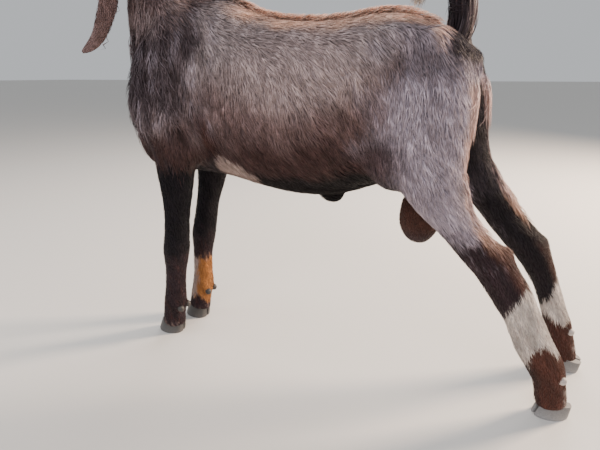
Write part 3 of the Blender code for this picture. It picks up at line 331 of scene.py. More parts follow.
# x, top, underside, half width, height of the widest place, how square above and below
TRUNK = [
    (-0.070, 0.725, 0.550, 0.050, 0.630, 2.0, 2.0),
    (-0.050, 0.785, 0.512, 0.082, 0.630, 2.1, 2.0),
    (-0.018, 0.845, 0.490, 0.102, 0.640, 2.0, 1.9),
    (0.030, 0.893, 0.480, 0.116, 0.650, 1.8, 1.8),
    (0.080, WITHERS_HEIGHT, 0.476, 0.127, 0.650, 1.7, 1.8),
    (0.140, 0.903, 0.474, 0.136, 0.640, 1.7, 1.9),
    (0.200, 0.887, 0.469, 0.145, 0.630, 1.8, 2.0),
    (0.260, 0.859, 0.457, 0.154, 0.620, 1.9, 2.1),
    (0.320, 0.843, 0.446, 0.160, 0.615, 2.0, 2.1),
    (0.380, LOIN_HEIGHT, 0.440, 0.161, 0.620, 2.0, 2.1),
    (0.440, 0.837, 0.442, 0.157, 0.630, 2.0, 2.1),
    (0.500, 0.842, 0.453, 0.148, 0.650, 2.0, 2.0),
    (0.550, 0.849, 0.472, 0.137, 0.670, 2.0, 2.0),
    (0.600, 0.846, 0.490, 0.124, 0.690, 1.9, 2.0),
    (0.650, 0.826, 0.515, 0.108, 0.690, 1.9, 2.0),
    (0.700, 0.796, 0.560, 0.088, 0.700, 1.9, 2.0),
    (0.735, 0.772, 0.620, 0.066, 0.710, 2.0, 2.0),
    (0.752, 0.750, 0.660, 0.040, 0.710, 2.0, 2.0),
]

# x, y, z, half depth, half width
NECK = [
    (0.078, 0, 0.690, 0.150, 0.096),
    (0.050, 0, 0.780, 0.134, 0.094),
    (0.025, 0, 0.860, 0.114, 0.086),
    (0.009, 0, 0.935, 0.096, 0.072),
    (-0.003, 0, 1.000, 0.077, 0.062),
    (-0.020, 0, 1.052, 0.069, 0.056),
    (-0.046, 0, 1.094, 0.060, 0.052),
    (-0.085, 0, 1.112, 0.050, 0.046),
]

MIDDLE_MASSES = {
    "brisket": ((-0.044, 0, 0.575), (0.048, 0.060, 0.092)),
    "sheath": ((0.444, 0, 0.440), (0.034, 0.017, 0.024)),
    "groin": ((0.640, 0, 0.545), (0.075, 0.070, 0.060)),
}
PAIRED_MASSES = {
    "hook_bone": ((0.585, 0.074, 0.792), (0.060, 0.032, 0.028)),
    "pin_bone": ((0.728, 0.046, 0.744), (0.036, 0.026, 0.034)),
    "buttock": ((0.705, 0.048, 0.655), (0.050, 0.042, 0.090)),
    "flank_fold": ((0.607, 0.092, 0.538), (0.066, 0.040, 0.058)),
}
SHOULDER_BLADE = [
    (0.088, 0.055, 0.850, 0.045, 0.030),
    (0.066, 0.083, 0.780, 0.064, 0.036),
    (0.036, 0.100, 0.700, 0.070, 0.038),
    (0.008, 0.104, 0.635, 0.056, 0.036),
    (-0.004, 0.102, 0.595, 0.034, 0.028),
]
UPPER_ARM = [
    (0.018, 0.106, 0.640, 0.046, 0.034),
    (0.054, 0.109, 0.600, 0.060, 0.040),
    (0.080, 0.105, 0.545, 0.058, 0.039),
    (0.086, 0.098, 0.500, 0.038, 0.032),
]
print("trunk rows:", len(TRUNK), "neck rows:", len(NECK))

# %% Tables of the legs
# Down from the elbow: height, lean (1 at the elbow, 0 at the foot), half depth, half width
FORE_LEG = [
    (0.560, 1.02, 0.062, 0.044),
    (0.500, 1.02, 0.054, 0.040),
    (0.440, 0.97, 0.043, 0.036),
    (0.370, 0.85, 0.035, 0.032),
    (0.320, 0.75, 0.036, 0.031),
    (0.285, 0.66, 0.037, 0.034),
    (0.255, 0.58, 0.036, 0.034),
    (0.210, 0.47, 0.031, 0.028),
    (0.155, 0.35, 0.031, 0.027),
    (0.120, 0.27, 0.033, 0.030),
    (0.098, 0.21, 0.034, 0.032),
    (0.072, 0.12, 0.033, 0.029),
    (0.045, 0.05, 0.034, 0.030),
    (0.022, 0.00, 0.034, 0.030),
]
KNEE_ROW = 6
FETLOCK_ROW = 10
KNEE_HEIGHT = 0.268
KNEE_AHEAD = 0.006
KNEE_SIZES = (0.030, 0.034, 0.030)
ELBOW_OUT = 0.092
FORE_FOOT_OUT = 0.052
ELBOW_BACK = {LEFT: 0.062, RIGHT: 0.064}
FORE_FOOT_BACK = {LEFT: -0.014, RIGHT: 0.010}
KNEE_BOW = {LEFT: 0.0, RIGHT: 0.014}
BOW_HEIGHT = 0.290
BOW_REACH = 0.170
DEWCLAW_SIZES = (0.013, 0.010, 0.014)
DEWCLAW_OUT = 0.017
DEWCLAW_BACK = 0.021
DEWCLAW_DROP = 0.006

# Down from the hip: x, distance out, z, half depth, half width
HIND_LEG = {
    LEFT: [
        (0.640, 0.052, 0.805, 0.050, 0.030),
        (0.646, 0.064, 0.765, 0.086, 0.048),
        (0.655, 0.078, 0.690, 0.099, 0.064),
        (0.664, 0.088, 0.610, 0.091, 0.068),
        (0.678, 0.098, 0.534, 0.076, 0.062),
        (0.702, 0.107, 0.480, 0.058, 0.054),
        (0.741, 0.113, 0.425, 0.039, 0.044),
        (0.778, 0.116, 0.385, 0.038, 0.040),
        (0.813, 0.117, 0.355, 0.042, 0.038),
        (0.838, 0.117, 0.322, 0.041, 0.037),
        (0.867, 0.116, 0.280, 0.041, 0.035),
        (0.885, 0.116, 0.250, 0.038, 0.031),
        (0.904, 0.112, 0.212, 0.039, 0.030),
        (0.922, 0.108, 0.175, 0.040, 0.031),
        (0.942, 0.104, 0.143, 0.039, 0.033),
        (0.958, 0.100, 0.115, 0.038, 0.034),
        (0.967, 0.096, 0.087, 0.034, 0.031),
        (0.976, 0.092, 0.050, 0.034, 0.030),
        (0.981, 0.090, 0.022, 0.034, 0.030),
    ],
    RIGHT: [
        (0.642, 0.052, 0.805, 0.050, 0.030),
        (0.650, 0.064, 0.765, 0.092, 0.048),
        (0.669, 0.078, 0.690, 0.111, 0.064),
        (0.693, 0.088, 0.610, 0.104, 0.068),
        (0.728, 0.097, 0.545, 0.081, 0.062),
        (0.766, 0.104, 0.497, 0.058, 0.054),
        (0.806, 0.109, 0.448, 0.044, 0.046),
        (0.852, 0.111, 0.388, 0.039, 0.041),
        (0.894, 0.112, 0.342, 0.039, 0.038),
        (0.926, 0.112, 0.312, 0.041, 0.036),
        (0.950, 0.112, 0.270, 0.035, 0.033),
        (0.968, 0.112, 0.235, 0.031, 0.029),
        (0.987, 0.112, 0.190, 0.030, 0.028),
        (1.002, 0.112, 0.152, 0.031, 0.029),
        (1.014, 0.112, 0.120, 0.033, 0.033),
        (1.026, 0.112, 0.090, 0.030, 0.031),
        (1.036, 0.112, 0.050, 0.032, 0.030),
        (1.042, 0.112, 0.022, 0.033, 0.030),
    ],
}
HIND_FETLOCK_ROW = {LEFT: 15, RIGHT: 14}
HEEL_CORD = {
    LEFT: [
        (0.752, 0.113, 0.440, 0.021, 0.020),
        (0.789, 0.116, 0.400, 0.017, 0.016),
        (0.842, 0.117, 0.368, 0.016, 0.016),
        (0.862, 0.117, 0.310, 0.015, 0.016),
    ],
    RIGHT: [
        (0.826, 0.109, 0.462, 0.022, 0.020),
        (0.884, 0.112, 0.392, 0.017, 0.016),
        (0.949, 0.112, 0.324, 0.016, 0.016),
        (0.958, 0.112, 0.262, 0.015, 0.016),
    ],
}
HOCK_POINT_SIZES = (0.017, 0.018, 0.028)
print("hind leg rows:", len(HIND_LEG[LEFT]), len(HIND_LEG[RIGHT]))

# %% Tables of the head, tail and scrotum
HEAD_POINT = Vector((-0.043, 0.0, 1.129))
HEAD_PITCH = math.radians(16)
FACE = [
    (-0.020, 0.014, -0.060, 0.038, -0.020, 2.0, 2.0),
    (0.006, 0.040, -0.086, 0.051, -0.024, 2.0, 2.0),
    (0.036, 0.056, -0.104, 0.058, -0.026, 2.1, 1.9),
    (0.068, 0.063, -0.111, 0.060, -0.020, 2.2, 1.8),
    (0.100, 0.062, -0.106, 0.059, -0.010, 2.2, 1.8),
    (0.130, 0.060, -0.096, 0.053, -0.014, 2.1, 1.9),
    (0.160, 0.055, -0.087, 0.046, -0.020, 2.1, 2.0),
    (0.190, 0.046, -0.080, 0.040, -0.024, 2.1, 2.1),
    (0.218, 0.034, -0.074, 0.036, -0.026, 2.1, 2.2),
    (0.243, 0.018, -0.069, 0.034, -0.028, 2.2, 2.3),
    (0.264, 0.001, -0.064, 0.031, -0.032, 2.2, 2.3),
    (0.279, -0.014, -0.058, 0.025, -0.037, 2.2, 2.2),
    (0.287, -0.027, -0.051, 0.014, -0.040, 2.0, 2.0),
]
EYE_RADIUS = 0.0155
EYE_PLACE = Vector((0.108, 0.0495, 0.021))
EYE_AIM = Vector((0.28, 1.0, 0.10))
LID_DEPTH = 0.0042
FACE_MIDDLE_MASSES = {
    "lower_lip": ((0.258, 0, -0.058), (0.024, 0.020, 0.010)),
    "chin": ((0.240, 0, -0.066), (0.028, 0.020, 0.012)),
}
FACE_PAIRED_MASSES = {
    "brow": ((0.100, 0.042, 0.036), (0.030, 0.015, 0.009)),
    "zygoma": ((0.100, 0.050, -0.004), (0.044, 0.010, 0.010)),
    "horn_root": ((0.034, 0.027, 0.040), (0.030, 0.020, 0.018)),
    "nose_wing": ((0.266, 0.018, -0.022), (0.016, 0.011, 0.014)),
    "upper_lip": ((0.258, 0.019, -0.040), (0.030, 0.014, 0.009)),
    "ear_root": ((0.044, 0.046, 0.000), (0.024, 0.018, 0.022)),
}
CHEEK = [
    (0.022, 0.032, -0.036, 0.022, 0.018),
    (0.056, 0.040, -0.052, 0.038, 0.019),
    (0.096, 0.038, -0.056, 0.034, 0.017),
    (0.140, 0.030, -0.052, 0.018, 0.012),
]
ORBIT_SHAPE = (1.10, 1.0, 0.98)
TAIL = [
    (0.690, 0.000, 0.770, 0.036, 0.032),
    (0.708, 0.000, 0.800, 0.031, 0.027),
    (0.713, 0.000, 0.832, 0.023, 0.020),
    (0.709, -0.001, 0.868, 0.016, 0.015),
    (0.696, -0.003, 0.902, 0.012, 0.013),
    (0.673, -0.006, 0.927, 0.011, 0.012),
    (0.647, -0.010, 0.932, 0.010, 0.012),
    (0.629, -0.014, 0.910, 0.009, 0.011),
    (0.621, -0.017, 0.878, 0.006, 0.007),
]
SCROTUM = [
    (0.655, 0, 0.500, 0.026, 0.028),
    (0.653, 0, 0.465, 0.030, 0.031),
    (0.653, 0, 0.430, 0.040, 0.041),
    (0.658, 0, 0.400, 0.048, 0.047),
    (0.667, 0, 0.374, 0.045, 0.043),
    (0.677, 0, 0.357, 0.032, 0.032),
    (0.684, 0, 0.348, 0.013, 0.014),
]


def head_matrix():
    """From the head's own directions (forward, left, up) to the goat's."""
    forward = Vector((-math.cos(HEAD_PITCH), 0, -math.sin(HEAD_PITCH)))
    up = Vector((-math.sin(HEAD_PITCH), 0, math.cos(HEAD_PITCH)))
    turn = Matrix((forward, Vector((0, -1, 0)), up)).transposed()
    return Matrix.Translation(HEAD_POINT) @ turn.to_4x4()


HEAD = head_matrix()
HEAD_TURN = HEAD.to_3x3()
print("the head drops by", round(math.degrees(HEAD_PITCH)), "degrees")

# %% [markdown]
# ## Body skin
# The trunk, neck and legs are melted together at 5 mm voxels. A dewclaw or a hock point is then
# still a few voxels across, and the whole skin stays a manageable mesh.


# %% Melt the body
def fore_leg_rows(side):
    foot = FORE_FOOT_BACK[side]
    rows = []
    for height, lean, deep, wide in FORE_LEG:
        bow = max(0, 1 - ((height - BOW_HEIGHT) / BOW_REACH) ** 2)
        x = foot + (ELBOW_BACK[side] - foot) * lean - KNEE_BOW[side] * bow
        out = FORE_FOOT_OUT + (ELBOW_OUT - FORE_FOOT_OUT) * lean
        rows.append((x, side * out, height, deep, wide))
    return rows


def hind_leg_rows(side):
    return sided_rows(HIND_LEG[side], side)


def add_dewclaws(bm, fetlock):
    for side in BOTH:
        offset = Vector((DEWCLAW_BACK, side * DEWCLAW_OUT, -DEWCLAW_DROP))
        add_ball(bm, Vector(fetlock[:3]) + offset, DEWCLAW_SIZES)


def add_body(bm):
    add_rings(bm, [squared_ring(*row) for row in smooth_rows(TRUNK, 4)])
    add_limb(bm, NECK)
    add_limb(bm, TAIL)
    add_limb(bm, SCROTUM)
    for centre, sizes in MIDDLE_MASSES.values():
        add_ball(bm, centre, sizes)
    for side in BOTH:
        for rows in (SHOULDER_BLADE, UPPER_ARM, HEEL_CORD[side]):
            add_limb(bm, sided_rows(rows, side))
        for centre, sizes in PAIRED_MASSES.values():
            add_ball(bm, sided(centre, side), sizes)
        fore = fore_leg_rows(side)
        knee = fore[KNEE_ROW]
        add_limb(bm, fore)
        add_ball(bm, (knee[0] - KNEE_AHEAD, knee[1], KNEE_HEIGHT), KNEE_SIZES)
        add_dewclaws(bm, fore[FETLOCK_ROW])
        hind = hind_leg_rows(side)
        add_limb(bm, hind)
        add_ball(bm, sided(HEEL_CORD[side][2], side), HOCK_POINT_SIZES)
        add_dewclaws(bm, hind[HIND_FETLOCK_ROW[side]])


BODY_VOXEL = 0.005
BODY_SHARE = 0.50
BODY_SMOOTHING = 12
TRUNK_SMOOTHING = 28
TRUNK_FLOOR = 0.47
TRUNK_FADE = 0.03


def on_tail(points):
    x, z = points[:, 0], points[:, 2]
    return (x > 0.60) & (z > 0.80 + np.maximum(0.70 - x, 0) * 0.6)


def soften_trunk(piece):
    """More smoothing of all that lies above the elbows and stifles, faded in, but not of the tail."""
    region = piece.vertex_groups.new(name="trunk")
    places, _ = mesh_arrays(piece.data)
    shares = np.clip((places[:, 2] - TRUNK_FLOOR) / TRUNK_FADE, 0, 1) * ~on_tail(places)
    for i, share in enumerate(shares.tolist()):
        region.add([i], share, "REPLACE")
    add_smoothing(piece, TRUNK_SMOOTHING).vertex_group = "trunk"
    applied(piece)
    piece.vertex_groups.clear()


body_shapes = bmesh.new()
add_body(body_shapes)
body = melted(body_shapes, "body_skin", BODY_VOXEL, BODY_SMOOTHING)
soften_trunk(body)
lightened(body, BODY_SHARE)
print("body skin:", len(body.data.polygons), "faces")


# %% [markdown]
# ## How the coat lies
# A goat's hair is combed by growth: backwards over the face and back, down over the neck, ribs
# and legs. A few dozen guides, as a groomer would name them, hold the lie, the length and the
# width of a tuft there, how deep the coat is, and how thick it stands. Everything in between is
# blended from the nearest guides.

# %% Coat guides
# place (x, distance out, z), lie (back, out, up), length, half width, depth of the coat, density
BODY_GUIDES = {
    "withers": ((0.080, 0.020, 0.900), (0.90, 0.20, -0.25), 0.034, 0.0013, 0.0072, 1.0),
    "back": ((0.250, 0.030, 0.860), (0.92, 0.25, -0.22), 0.030, 0.0013, 0.0072, 1.0),
    "loin": ((0.420, 0.035, 0.835), (0.88, 0.25, -0.35), 0.031, 0.0013, 0.0076, 1.0),
    "croup": ((0.580, 0.040, 0.845), (0.75, 0.22, -0.55), 0.033, 0.0013, 0.0080, 1.0),
    "rump": ((0.700, 0.040, 0.790), (0.60, 0.15, -0.80), 0.030, 0.0013, 0.0068, 1.0),
    "shoulder_top": ((0.070, 0.095, 0.800), (0.35, 0.05, -0.94), 0.034, 0.0014, 0.0076, 1.0),
    "shoulder": ((0.030, 0.135, 0.680), (0.15, 0.00, -0.99), 0.036, 0.0015, 0.0084, 1.0),
    "arm": ((0.075, 0.145, 0.570), (0.22, 0.00, -0.97), 0.028, 0.0013, 0.0068, 1.0),
    "chest": ((-0.065, 0.040, 0.680), (0.05, 0.10, -1.0), 0.036, 0.0015, 0.0076, 1.0),
    "brisket": ((-0.045, 0.025, 0.540), (0.30, 0.00, -0.95), 0.030, 0.0013, 0.0061, 1.0),
    "ribs_fore": ((0.180, 0.140, 0.700), (0.30, 0.00, -0.95), 0.034, 0.0014, 0.0076, 1.0),
    "ribs": ((0.330, 0.160, 0.640), (0.36, 0.00, -0.93), 0.032, 0.0013, 0.0072, 1.0),
    "ribs_low": ((0.250, 0.125, 0.510), (0.55, -0.20, -0.80), 0.028, 0.0013, 0.0065, 1.0),
    "flank": ((0.480, 0.150, 0.680), (0.50, 0.00, -0.86), 0.030, 0.0013, 0.0068, 1.0),
    "flank_low": ((0.500, 0.110, 0.520), (0.60, -0.10, -0.70), 0.026, 0.0013, 0.0061, 1.0),
    "belly": ((0.250, 0.020, 0.465), (1.00, 0.00, -0.12), 0.026, 0.0012, 0.0053, 0.9),
    "belly_rear": ((0.470, 0.030, 0.450), (1.00, 0.00, -0.05), 0.024, 0.0012, 0.0046, 0.9),
    "thigh_top": ((0.620, 0.100, 0.780), (0.40, 0.10, -0.88), 0.031, 0.0013, 0.0072, 1.0),
    "thigh": ((0.640, 0.140, 0.680), (0.12, 0.00, -0.99), 0.030, 0.0013, 0.0068, 1.0),
    "breech": ((0.745, 0.090, 0.680), (0.20, 0.00, -0.98), 0.034, 0.0013, 0.0068, 1.1),
    "groin": ((0.660, 0.020, 0.560), (0.20, 0.00, -0.98), 0.014, 0.0010, 0.0030, 0.8),
    "under_tail": ((0.745, 0.010, 0.730), (0.10, 0.00, -0.99), 0.007, 0.0007, 0.0020, 0.5),
    "scrotum": ((0.665, 0.035, 0.400), (0.05, 0.00, -1.00), 0.009, 0.0009, 0.0016, 0.7),
    "tail_root": ((0.700, 0.015, 0.860), (-0.10, 0.0, 1.00), 0.010, 0.0008, 0.0010, 0.6),
}
FORE_GUIDES = {
    "elbow": ((0.075, 0.125, 0.500), (0.15, 0.00, -0.99), 0.023, 0.0012, 0.0049, 1.0),
    "forearm": ((0.050, 0.115, 0.420), (0.05, 0.00, -1.0), 0.016, 0.0010, 0.0034, 0.9),
    "knee": ((0.030, 0.105, 0.270), (0.00, 0.00, -1.0), 0.010, 0.0008, 0.0025, 0.8),
    "cannon": ((0.005, 0.090, 0.190), (0.00, 0.00, -1.0), 0.011, 0.0008, 0.0025, 0.8),
    "fetlock": ((-0.005, 0.080, 0.100), (0.15, 0.00, -0.99), 0.012, 0.0008, 0.0028, 0.9),
    "pastern": ((-0.010, 0.075, 0.050), (0.10, 0.00, -1.0), 0.010, 0.0008, 0.0022, 0.9),
}
HIND_GUIDES = {
    "thigh_low": ((0.700, 0.150, 0.560), (0.30, 0.00, -0.95), 0.027, 0.0013, 0.0061, 1.0),
    "stifle": ((0.600, 0.120, 0.520), (0.25, 0.00, -0.97), 0.024, 0.0012, 0.0053, 1.0),
    "gaskin": ((0.750, 0.150, 0.445), (0.55, 0.00, -0.84), 0.021, 0.0011, 0.0046, 1.0),
    "gaskin_low": ((0.810, 0.145, 0.370), (0.58, 0.00, -0.81), 0.016, 0.0010, 0.0034, 0.9),
    "hock": ((0.862, 0.135, 0.310), (0.45, 0.00, -0.89), 0.012, 0.0008, 0.0028, 0.9),
    "hind_cannon": ((0.905, 0.135, 0.215), (0.43, 0.00, -0.90), 0.012, 0.0008, 0.0026, 0.9),
    "hind_fetlock": ((0.952, 0.120, 0.120), (0.35, 0.00, -0.93), 0.013, 0.0008, 0.0030, 0.9),
    "hind_pastern": ((0.970, 0.110, 0.050), (0.10, 0.00, -1.0), 0.010, 0.0008, 0.0022, 0.9),
}
RIGHT_HIND_FURTHER = 0.075
NECK_GUIDES = {
    "neck_low": ((0.045, 0.090, 0.800), (0.35, 0.00, -0.94), 0.038, 0.0015, 0.0084, 1.0),
    "neck": ((0.010, 0.078, 0.930), (0.33, 0.00, -0.94), 0.036, 0.0015, 0.0076, 1.0),
    "neck_high": ((-0.015, 0.060, 1.050), (0.38, 0.05, -0.92), 0.030, 0.0013, 0.0057, 1.0),
    "crest": ((0.085, 0.010, 1.000), (0.60, 0.10, -0.80), 0.040, 0.0015, 0.0084, 1.0),
    "throat": ((-0.085, 0.020, 0.900), (0.00, 0.05, -1.0), 0.040, 0.0015, 0.0084, 1.0),
}
HEAD_GUIDES = {
    "poll": ((-0.030, 0.020, 1.172), (0.95, 0.10, -0.10), 0.016, 0.0008, 0.0028, 0.9),
    "forehead": ((-0.120, 0.025, 1.165), (0.95, 0.20, 0.20), 0.011, 0.0007, 0.0018, 0.9),
    "bridge": ((-0.220, 0.015, 1.120), (0.94, 0.06, 0.30), 0.008, 0.0008, 0.0012, 0.9),
    "nose": ((-0.305, 0.020, 1.045), (0.90, 0.10, 0.38), 0.0055, 0.0006, 0.0007, 1.0),
    "lips": ((-0.295, 0.020, 1.015), (0.95, 0.15, 0.10), 0.0055, 0.0006, 0.0007, 0.9),
    "cheek": ((-0.120, 0.058, 1.080), (0.90, 0.00, -0.30), 0.012, 0.0008, 0.0020, 0.9),
    "jaw": ((-0.110, 0.035, 1.010), (0.85, 0.00, -0.50), 0.016, 0.0008, 0.0028, 0.9),
    "jaw_front": ((-0.220, 0.020, 1.010), (0.90, 0.00, -0.35), 0.011, 0.0007, 0.0018, 0.9),
    "round_eye": ((-0.140, 0.050, 1.118), (0.90, 0.10, 0.20), 0.0050, 0.0006, 0.0008, 0.6),
    "ear": ((-0.070, 0.118, 0.960), (-0.05, 0.02, -1.0), 0.0110, 0.0007, 0.0006, 0.7),
    "ear_tip": ((-0.110, 0.120, 0.800), (-0.60, 0.00, -0.60), 0.0110, 0.0007, 0.0006, 0.7),
}


def guide_table():
    """Every guide on both sides as rows: place 3, lie 3, length, half width, depth, density."""
    rows = []
    for side in BOTH:
        for guides in (BODY_GUIDES, FORE_GUIDES, HIND_GUIDES, NECK_GUIDES, HEAD_GUIDES):
            for place, lie, *sizes in guides.values():
                where = sided(place, side)
                if guides is HIND_GUIDES and side == RIGHT:
                    where.x += RIGHT_HIND_FURTHER * min(max((0.62 - where.z) / 0.30, 0), 1)
                rows.append((*where, *sided(lie, side), *sizes))
    return np.array(rows)


GUIDES = guide_table()
GUIDE_REACH = 0.03
GUIDE_BATCH = 20000
LENGTH, HALF_WIDTH, DEPTH, DENSITY = 3, 4, 5, 6


def groomed(points):
    """The blended guide row at each point: lie 3, length, half width, depth, density."""
    made = np.empty((len(points), 7))
    for start in range(0, len(points), GUIDE_BATCH):
        some = slice(start, start + GUIDE_BATCH)
        gap = ((points[some, None, :] - GUIDES[None, :, :3]) ** 2).sum(2)
        weight = 1 / (gap + GUIDE_REACH**2) ** 2
        weight /= weight.sum(1, keepdims=True)
        made[some] = weight @ GUIDES[:, 3:]
    return made


print("guides:", len(GUIDES))

# %% [markdown]
# ## Skin under the coat
# The CAD solids reach to the tips of the coat, so the skin lies inside them by the coat's depth.
# Each point of the melted body moves in along its normal by the depth that the guides give.


# %% Sink the skin below the coat
EASING = 2


def sink_by_coat(piece):
    """Move the skin in by the coat's depth, then ease any pinch this makes."""
    places, normals = mesh_arrays(piece.data)
    depth = groomed(places)[:, DEPTH]
    piece.data.vertices.foreach_set("co", (places - normals * depth[:, None]).ravel())
    piece.data.update()
    add_smoothing(piece, EASING)
    return applied(piece)


sink_by_coat(body)
print("coat depth:", GUIDES[:, 3 + DEPTH].min(), "to", GUIDES[:, 3 + DEPTH].max())

# %% [markdown]
# ## Head skin
# The face needs finer voxels than the body, because nostrils, lips and lids are small. So the
# head is melted on its own at 2 mm together with the top of the neck, and later stitched to
# the body where the neck's hair is long.

# %% Melt the head
HEAD_VOXEL = 0.0020
HEAD_SMOOTHING = 18


def add_head(bm):
    """The face's masses in the head's own directions, then set in place with the neck below."""
    face = bmesh.new()
    add_rings(face, [squared_ring(*row) for row in smooth_rows(FACE, 4)])
    orbit = [(EYE_RADIUS + LID_DEPTH) * share for share in ORBIT_SHAPE]
    for side in BOTH:
        add_limb(face, sided_rows(CHEEK, side))
        add_ball(face, sided(EYE_PLACE, side), orbit)
        for centre, sizes in FACE_PAIRED_MASSES.values():
            add_ball(face, sided(centre, side), sizes)
    for centre, sizes in FACE_MIDDLE_MASSES.values():
        add_ball(face, centre, sizes)
    face.transform(HEAD)
    mesh = mesh_of(face, "face_shapes")
    bm.from_mesh(mesh)
    bpy.data.meshes.remove(mesh)
    add_limb(bm, NECK)


head_shapes = bmesh.new()
add_head(head_shapes)
head = melted(head_shapes, "head_skin", HEAD_VOXEL, HEAD_SMOOTHING)
print("head skin before trimming:", len(head.data.polygons), "faces")


# %% Keep the head above the throat and sink it
SEAM_PLACE = Vector((-0.020, 0, 1.020))
SEAM_NORMAL = Vector((-0.30, 0, 0.954)).normalized()
ROOM_BELOW_SEAM = 0.02


def cut_open(piece, place, normal):
    """Keep what lies on the normal's side of a plane and leave it open there."""
    bm = opened(piece.data)
    every = bm.verts[:] + bm.edges[:] + bm.faces[:]
    bmesh.ops.bisect_plane(bm, geom=every, plane_co=place, plane_no=normal, clear_inner=True)
    written_back(bm, piece.data)


def open_rim(bm):
    return [edge for edge in bm.edges if edge.is_boundary]


def closed_again(piece):
    bm = opened(piece.data)
    bmesh.ops.edgeloop_fill(bm, edges=open_rim(bm))
    written_back(bm, piece.data)


HEAD_SHARE = 0.78
lightened(head, HEAD_SHARE)
cut_open(head, SEAM_PLACE - SEAM_NORMAL * ROOM_BELOW_SEAM, SEAM_NORMAL)
closed_again(head)
sink_by_coat(head)
print("head skin:", len(head.data.polygons), "faces")

# %% [markdown]
# ## Openings of the face
# Real lids, nostrils and lips are edges, and a melted shape has none. They are cut with the
# Boolean tools that a sculptor would reach for: an almond for the lids over a round socket, a
# slanting slit in the wing of the nose, and a thin blade along the mouth.

# %% Cutters for the face
LID_HALF_OPENING = (0.0135, 0.0092)
SOCKET_GAP = 0.0004
LID_STATIONS = ((0.004, 0.90), (0.012, 1.0), (0.030, 1.45))
NOSE_CENTRE = Vector((0.252, 0.0, -0.026))
NOSTRIL_AIM = Vector((0.86, 0.52, 0.10))
NOSTRIL_HALF_SIZE = Vector((0.0090, 0.0030, 0.0085))
NOSTRIL_SLANT = 0.6
MOUTH_HEIGHT = -0.0475
MOUTH_DEPTH = 0.0050
MOUTH_START = Vector((0.250, 0, MOUTH_HEIGHT))
MOUTH_RINGS = 61
MOUTH_SWING = math.radians(118)
MOUTH_CORNER_RISE = 0.006
MOUTH_CORNER_FADE = 0.5
MOUTH_OUTSIDE = 0.004
MOUTH_HALF_GAPE = 0.0010


def facing(aim):
    """Three directions from an aim: level across, upwards and outwards."""
    out = aim.normalized()
    across = Vector((0, 0, 1)).cross(out).normalized()
    return Matrix((across, out.cross(across), out)).transposed()


def skin_tree(piece):
    bm = opened(piece.data)
    tree = BVHTree.FromBMesh(bm)
    bm.free()
    return tree


def almond(angle):
    """The outline of a goat's open lids, one turn round: nearly flat above, pointed at both ends."""
    up = math.sin(angle)
    return Vector((math.cos(angle) * LID_HALF_OPENING[0], up * abs(up) ** 0.4 * LID_HALF_OPENING[1], 0))


def add_lid_opening(bm, side):
    turn = facing(sided(EYE_AIM, side))
    rings = []
    for depth, size in LID_STATIONS:
        ring = []
        for k in range(48):
            point = almond(math.tau * k / 48) * size + Vector((0, 0, depth))
            ring.append(HEAD @ (sided(EYE_PLACE, side) + turn @ point))
        rings.append(ring)
    add_rings(bm, rings)


def add_nostril(bm, tree, side):
    aim = sided(NOSTRIL_AIM, side).normalized()
    turn = HEAD_TURN @ facing(aim) @ Matrix.Rotation(side * NOSTRIL_SLANT, 3, "Z")
    far = HEAD @ (NOSE_CENTRE + aim * 0.1)
    place = tree.ray_cast(far, HEAD_TURN @ -aim)[0]
    add_ball(bm, place, NOSTRIL_HALF_SIZE, turn=turn)


def add_mouth(bm, tree):
    lift = HEAD_TURN @ Vector((0, 0, 1))
    rings = []
    for i in range(MOUTH_RINGS):
        share = 2 * i / (MOUTH_RINGS - 1) - 1
        swing = share * MOUTH_SWING
        aim = HEAD_TURN @ Vector((math.cos(swing), math.sin(swing), 0))
        start = HEAD @ MOUTH_START + lift * MOUTH_CORNER_RISE * share**2
        hit = tree.ray_cast(start, aim)[0]
        inner = hit - aim * MOUTH_DEPTH * (1 - MOUTH_CORNER_FADE * abs(share) ** 3)
        outer = hit + aim * MOUTH_OUTSIDE
        rings.append([inner, outer - lift * MOUTH_HALF_GAPE, outer + lift * MOUTH_HALF_GAPE])
    add_rings(bm, rings)


def boolean(piece, bm, operation):
    """One manifold Boolean of a piece with the closed shape in bm."""
    tool = goat_object("tool", mesh_of(bm, "tool"))
    modifier = piece.modifiers.new("cut", "BOOLEAN")
    modifier.operation = operation
    modifier.solver = "MANIFOLD"
    modifier.object = tool
    applied(piece)
    bpy.data.objects.remove(tool, do_unlink=True)
    return piece


# How far out, in lid openings, each ridge or furrow runs, how wide it is and how high
LID_FOLDS = {
    "above": ((1.14, 0.15, 0.0012), (1.58, 0.20, -0.0014), (2.10, 0.30, 0.0009)),
    "below": ((1.14, 0.15, 0.0010), (1.50, 0.18, -0.0009), (1.95, 0.26, 0.0005)),
}
LID_REACH = 0.036
LID_BLEND = 0.006


def raise_lids(piece, side):
    """Round rims and folds round the eye, on a finer mesh."""
    turn = HEAD_TURN @ facing(sided(EYE_AIM, side))
    back = turn.inverted()
    place = HEAD @ sided(EYE_PLACE, side)
    bm = opened(piece.data)
    near = [edge for edge in bm.edges if (edge.verts[0].co - place).length < LID_REACH]
    bmesh.ops.subdivide_edges(bm, edges=near, cuts=2, use_grid_fill=True)
    bm.normal_update()
    for vertex in bm.verts:
        local = back @ (vertex.co - place)
        if local.z > 0 and local.length < LID_REACH:
            gap = math.hypot(local.x / LID_HALF_OPENING[0], local.y / LID_HALF_OPENING[1])
            upper = min(max(0.5 + local.y / LID_BLEND, 0), 1)
            for share, folds in ((upper, "above"), (1 - upper, "below")):
                for at, wide, height in LID_FOLDS[folds]:
                    vertex.co += vertex.normal * share * height * math.exp(-(((gap - at) / wide) ** 2))
    written_back(bm, piece.data)


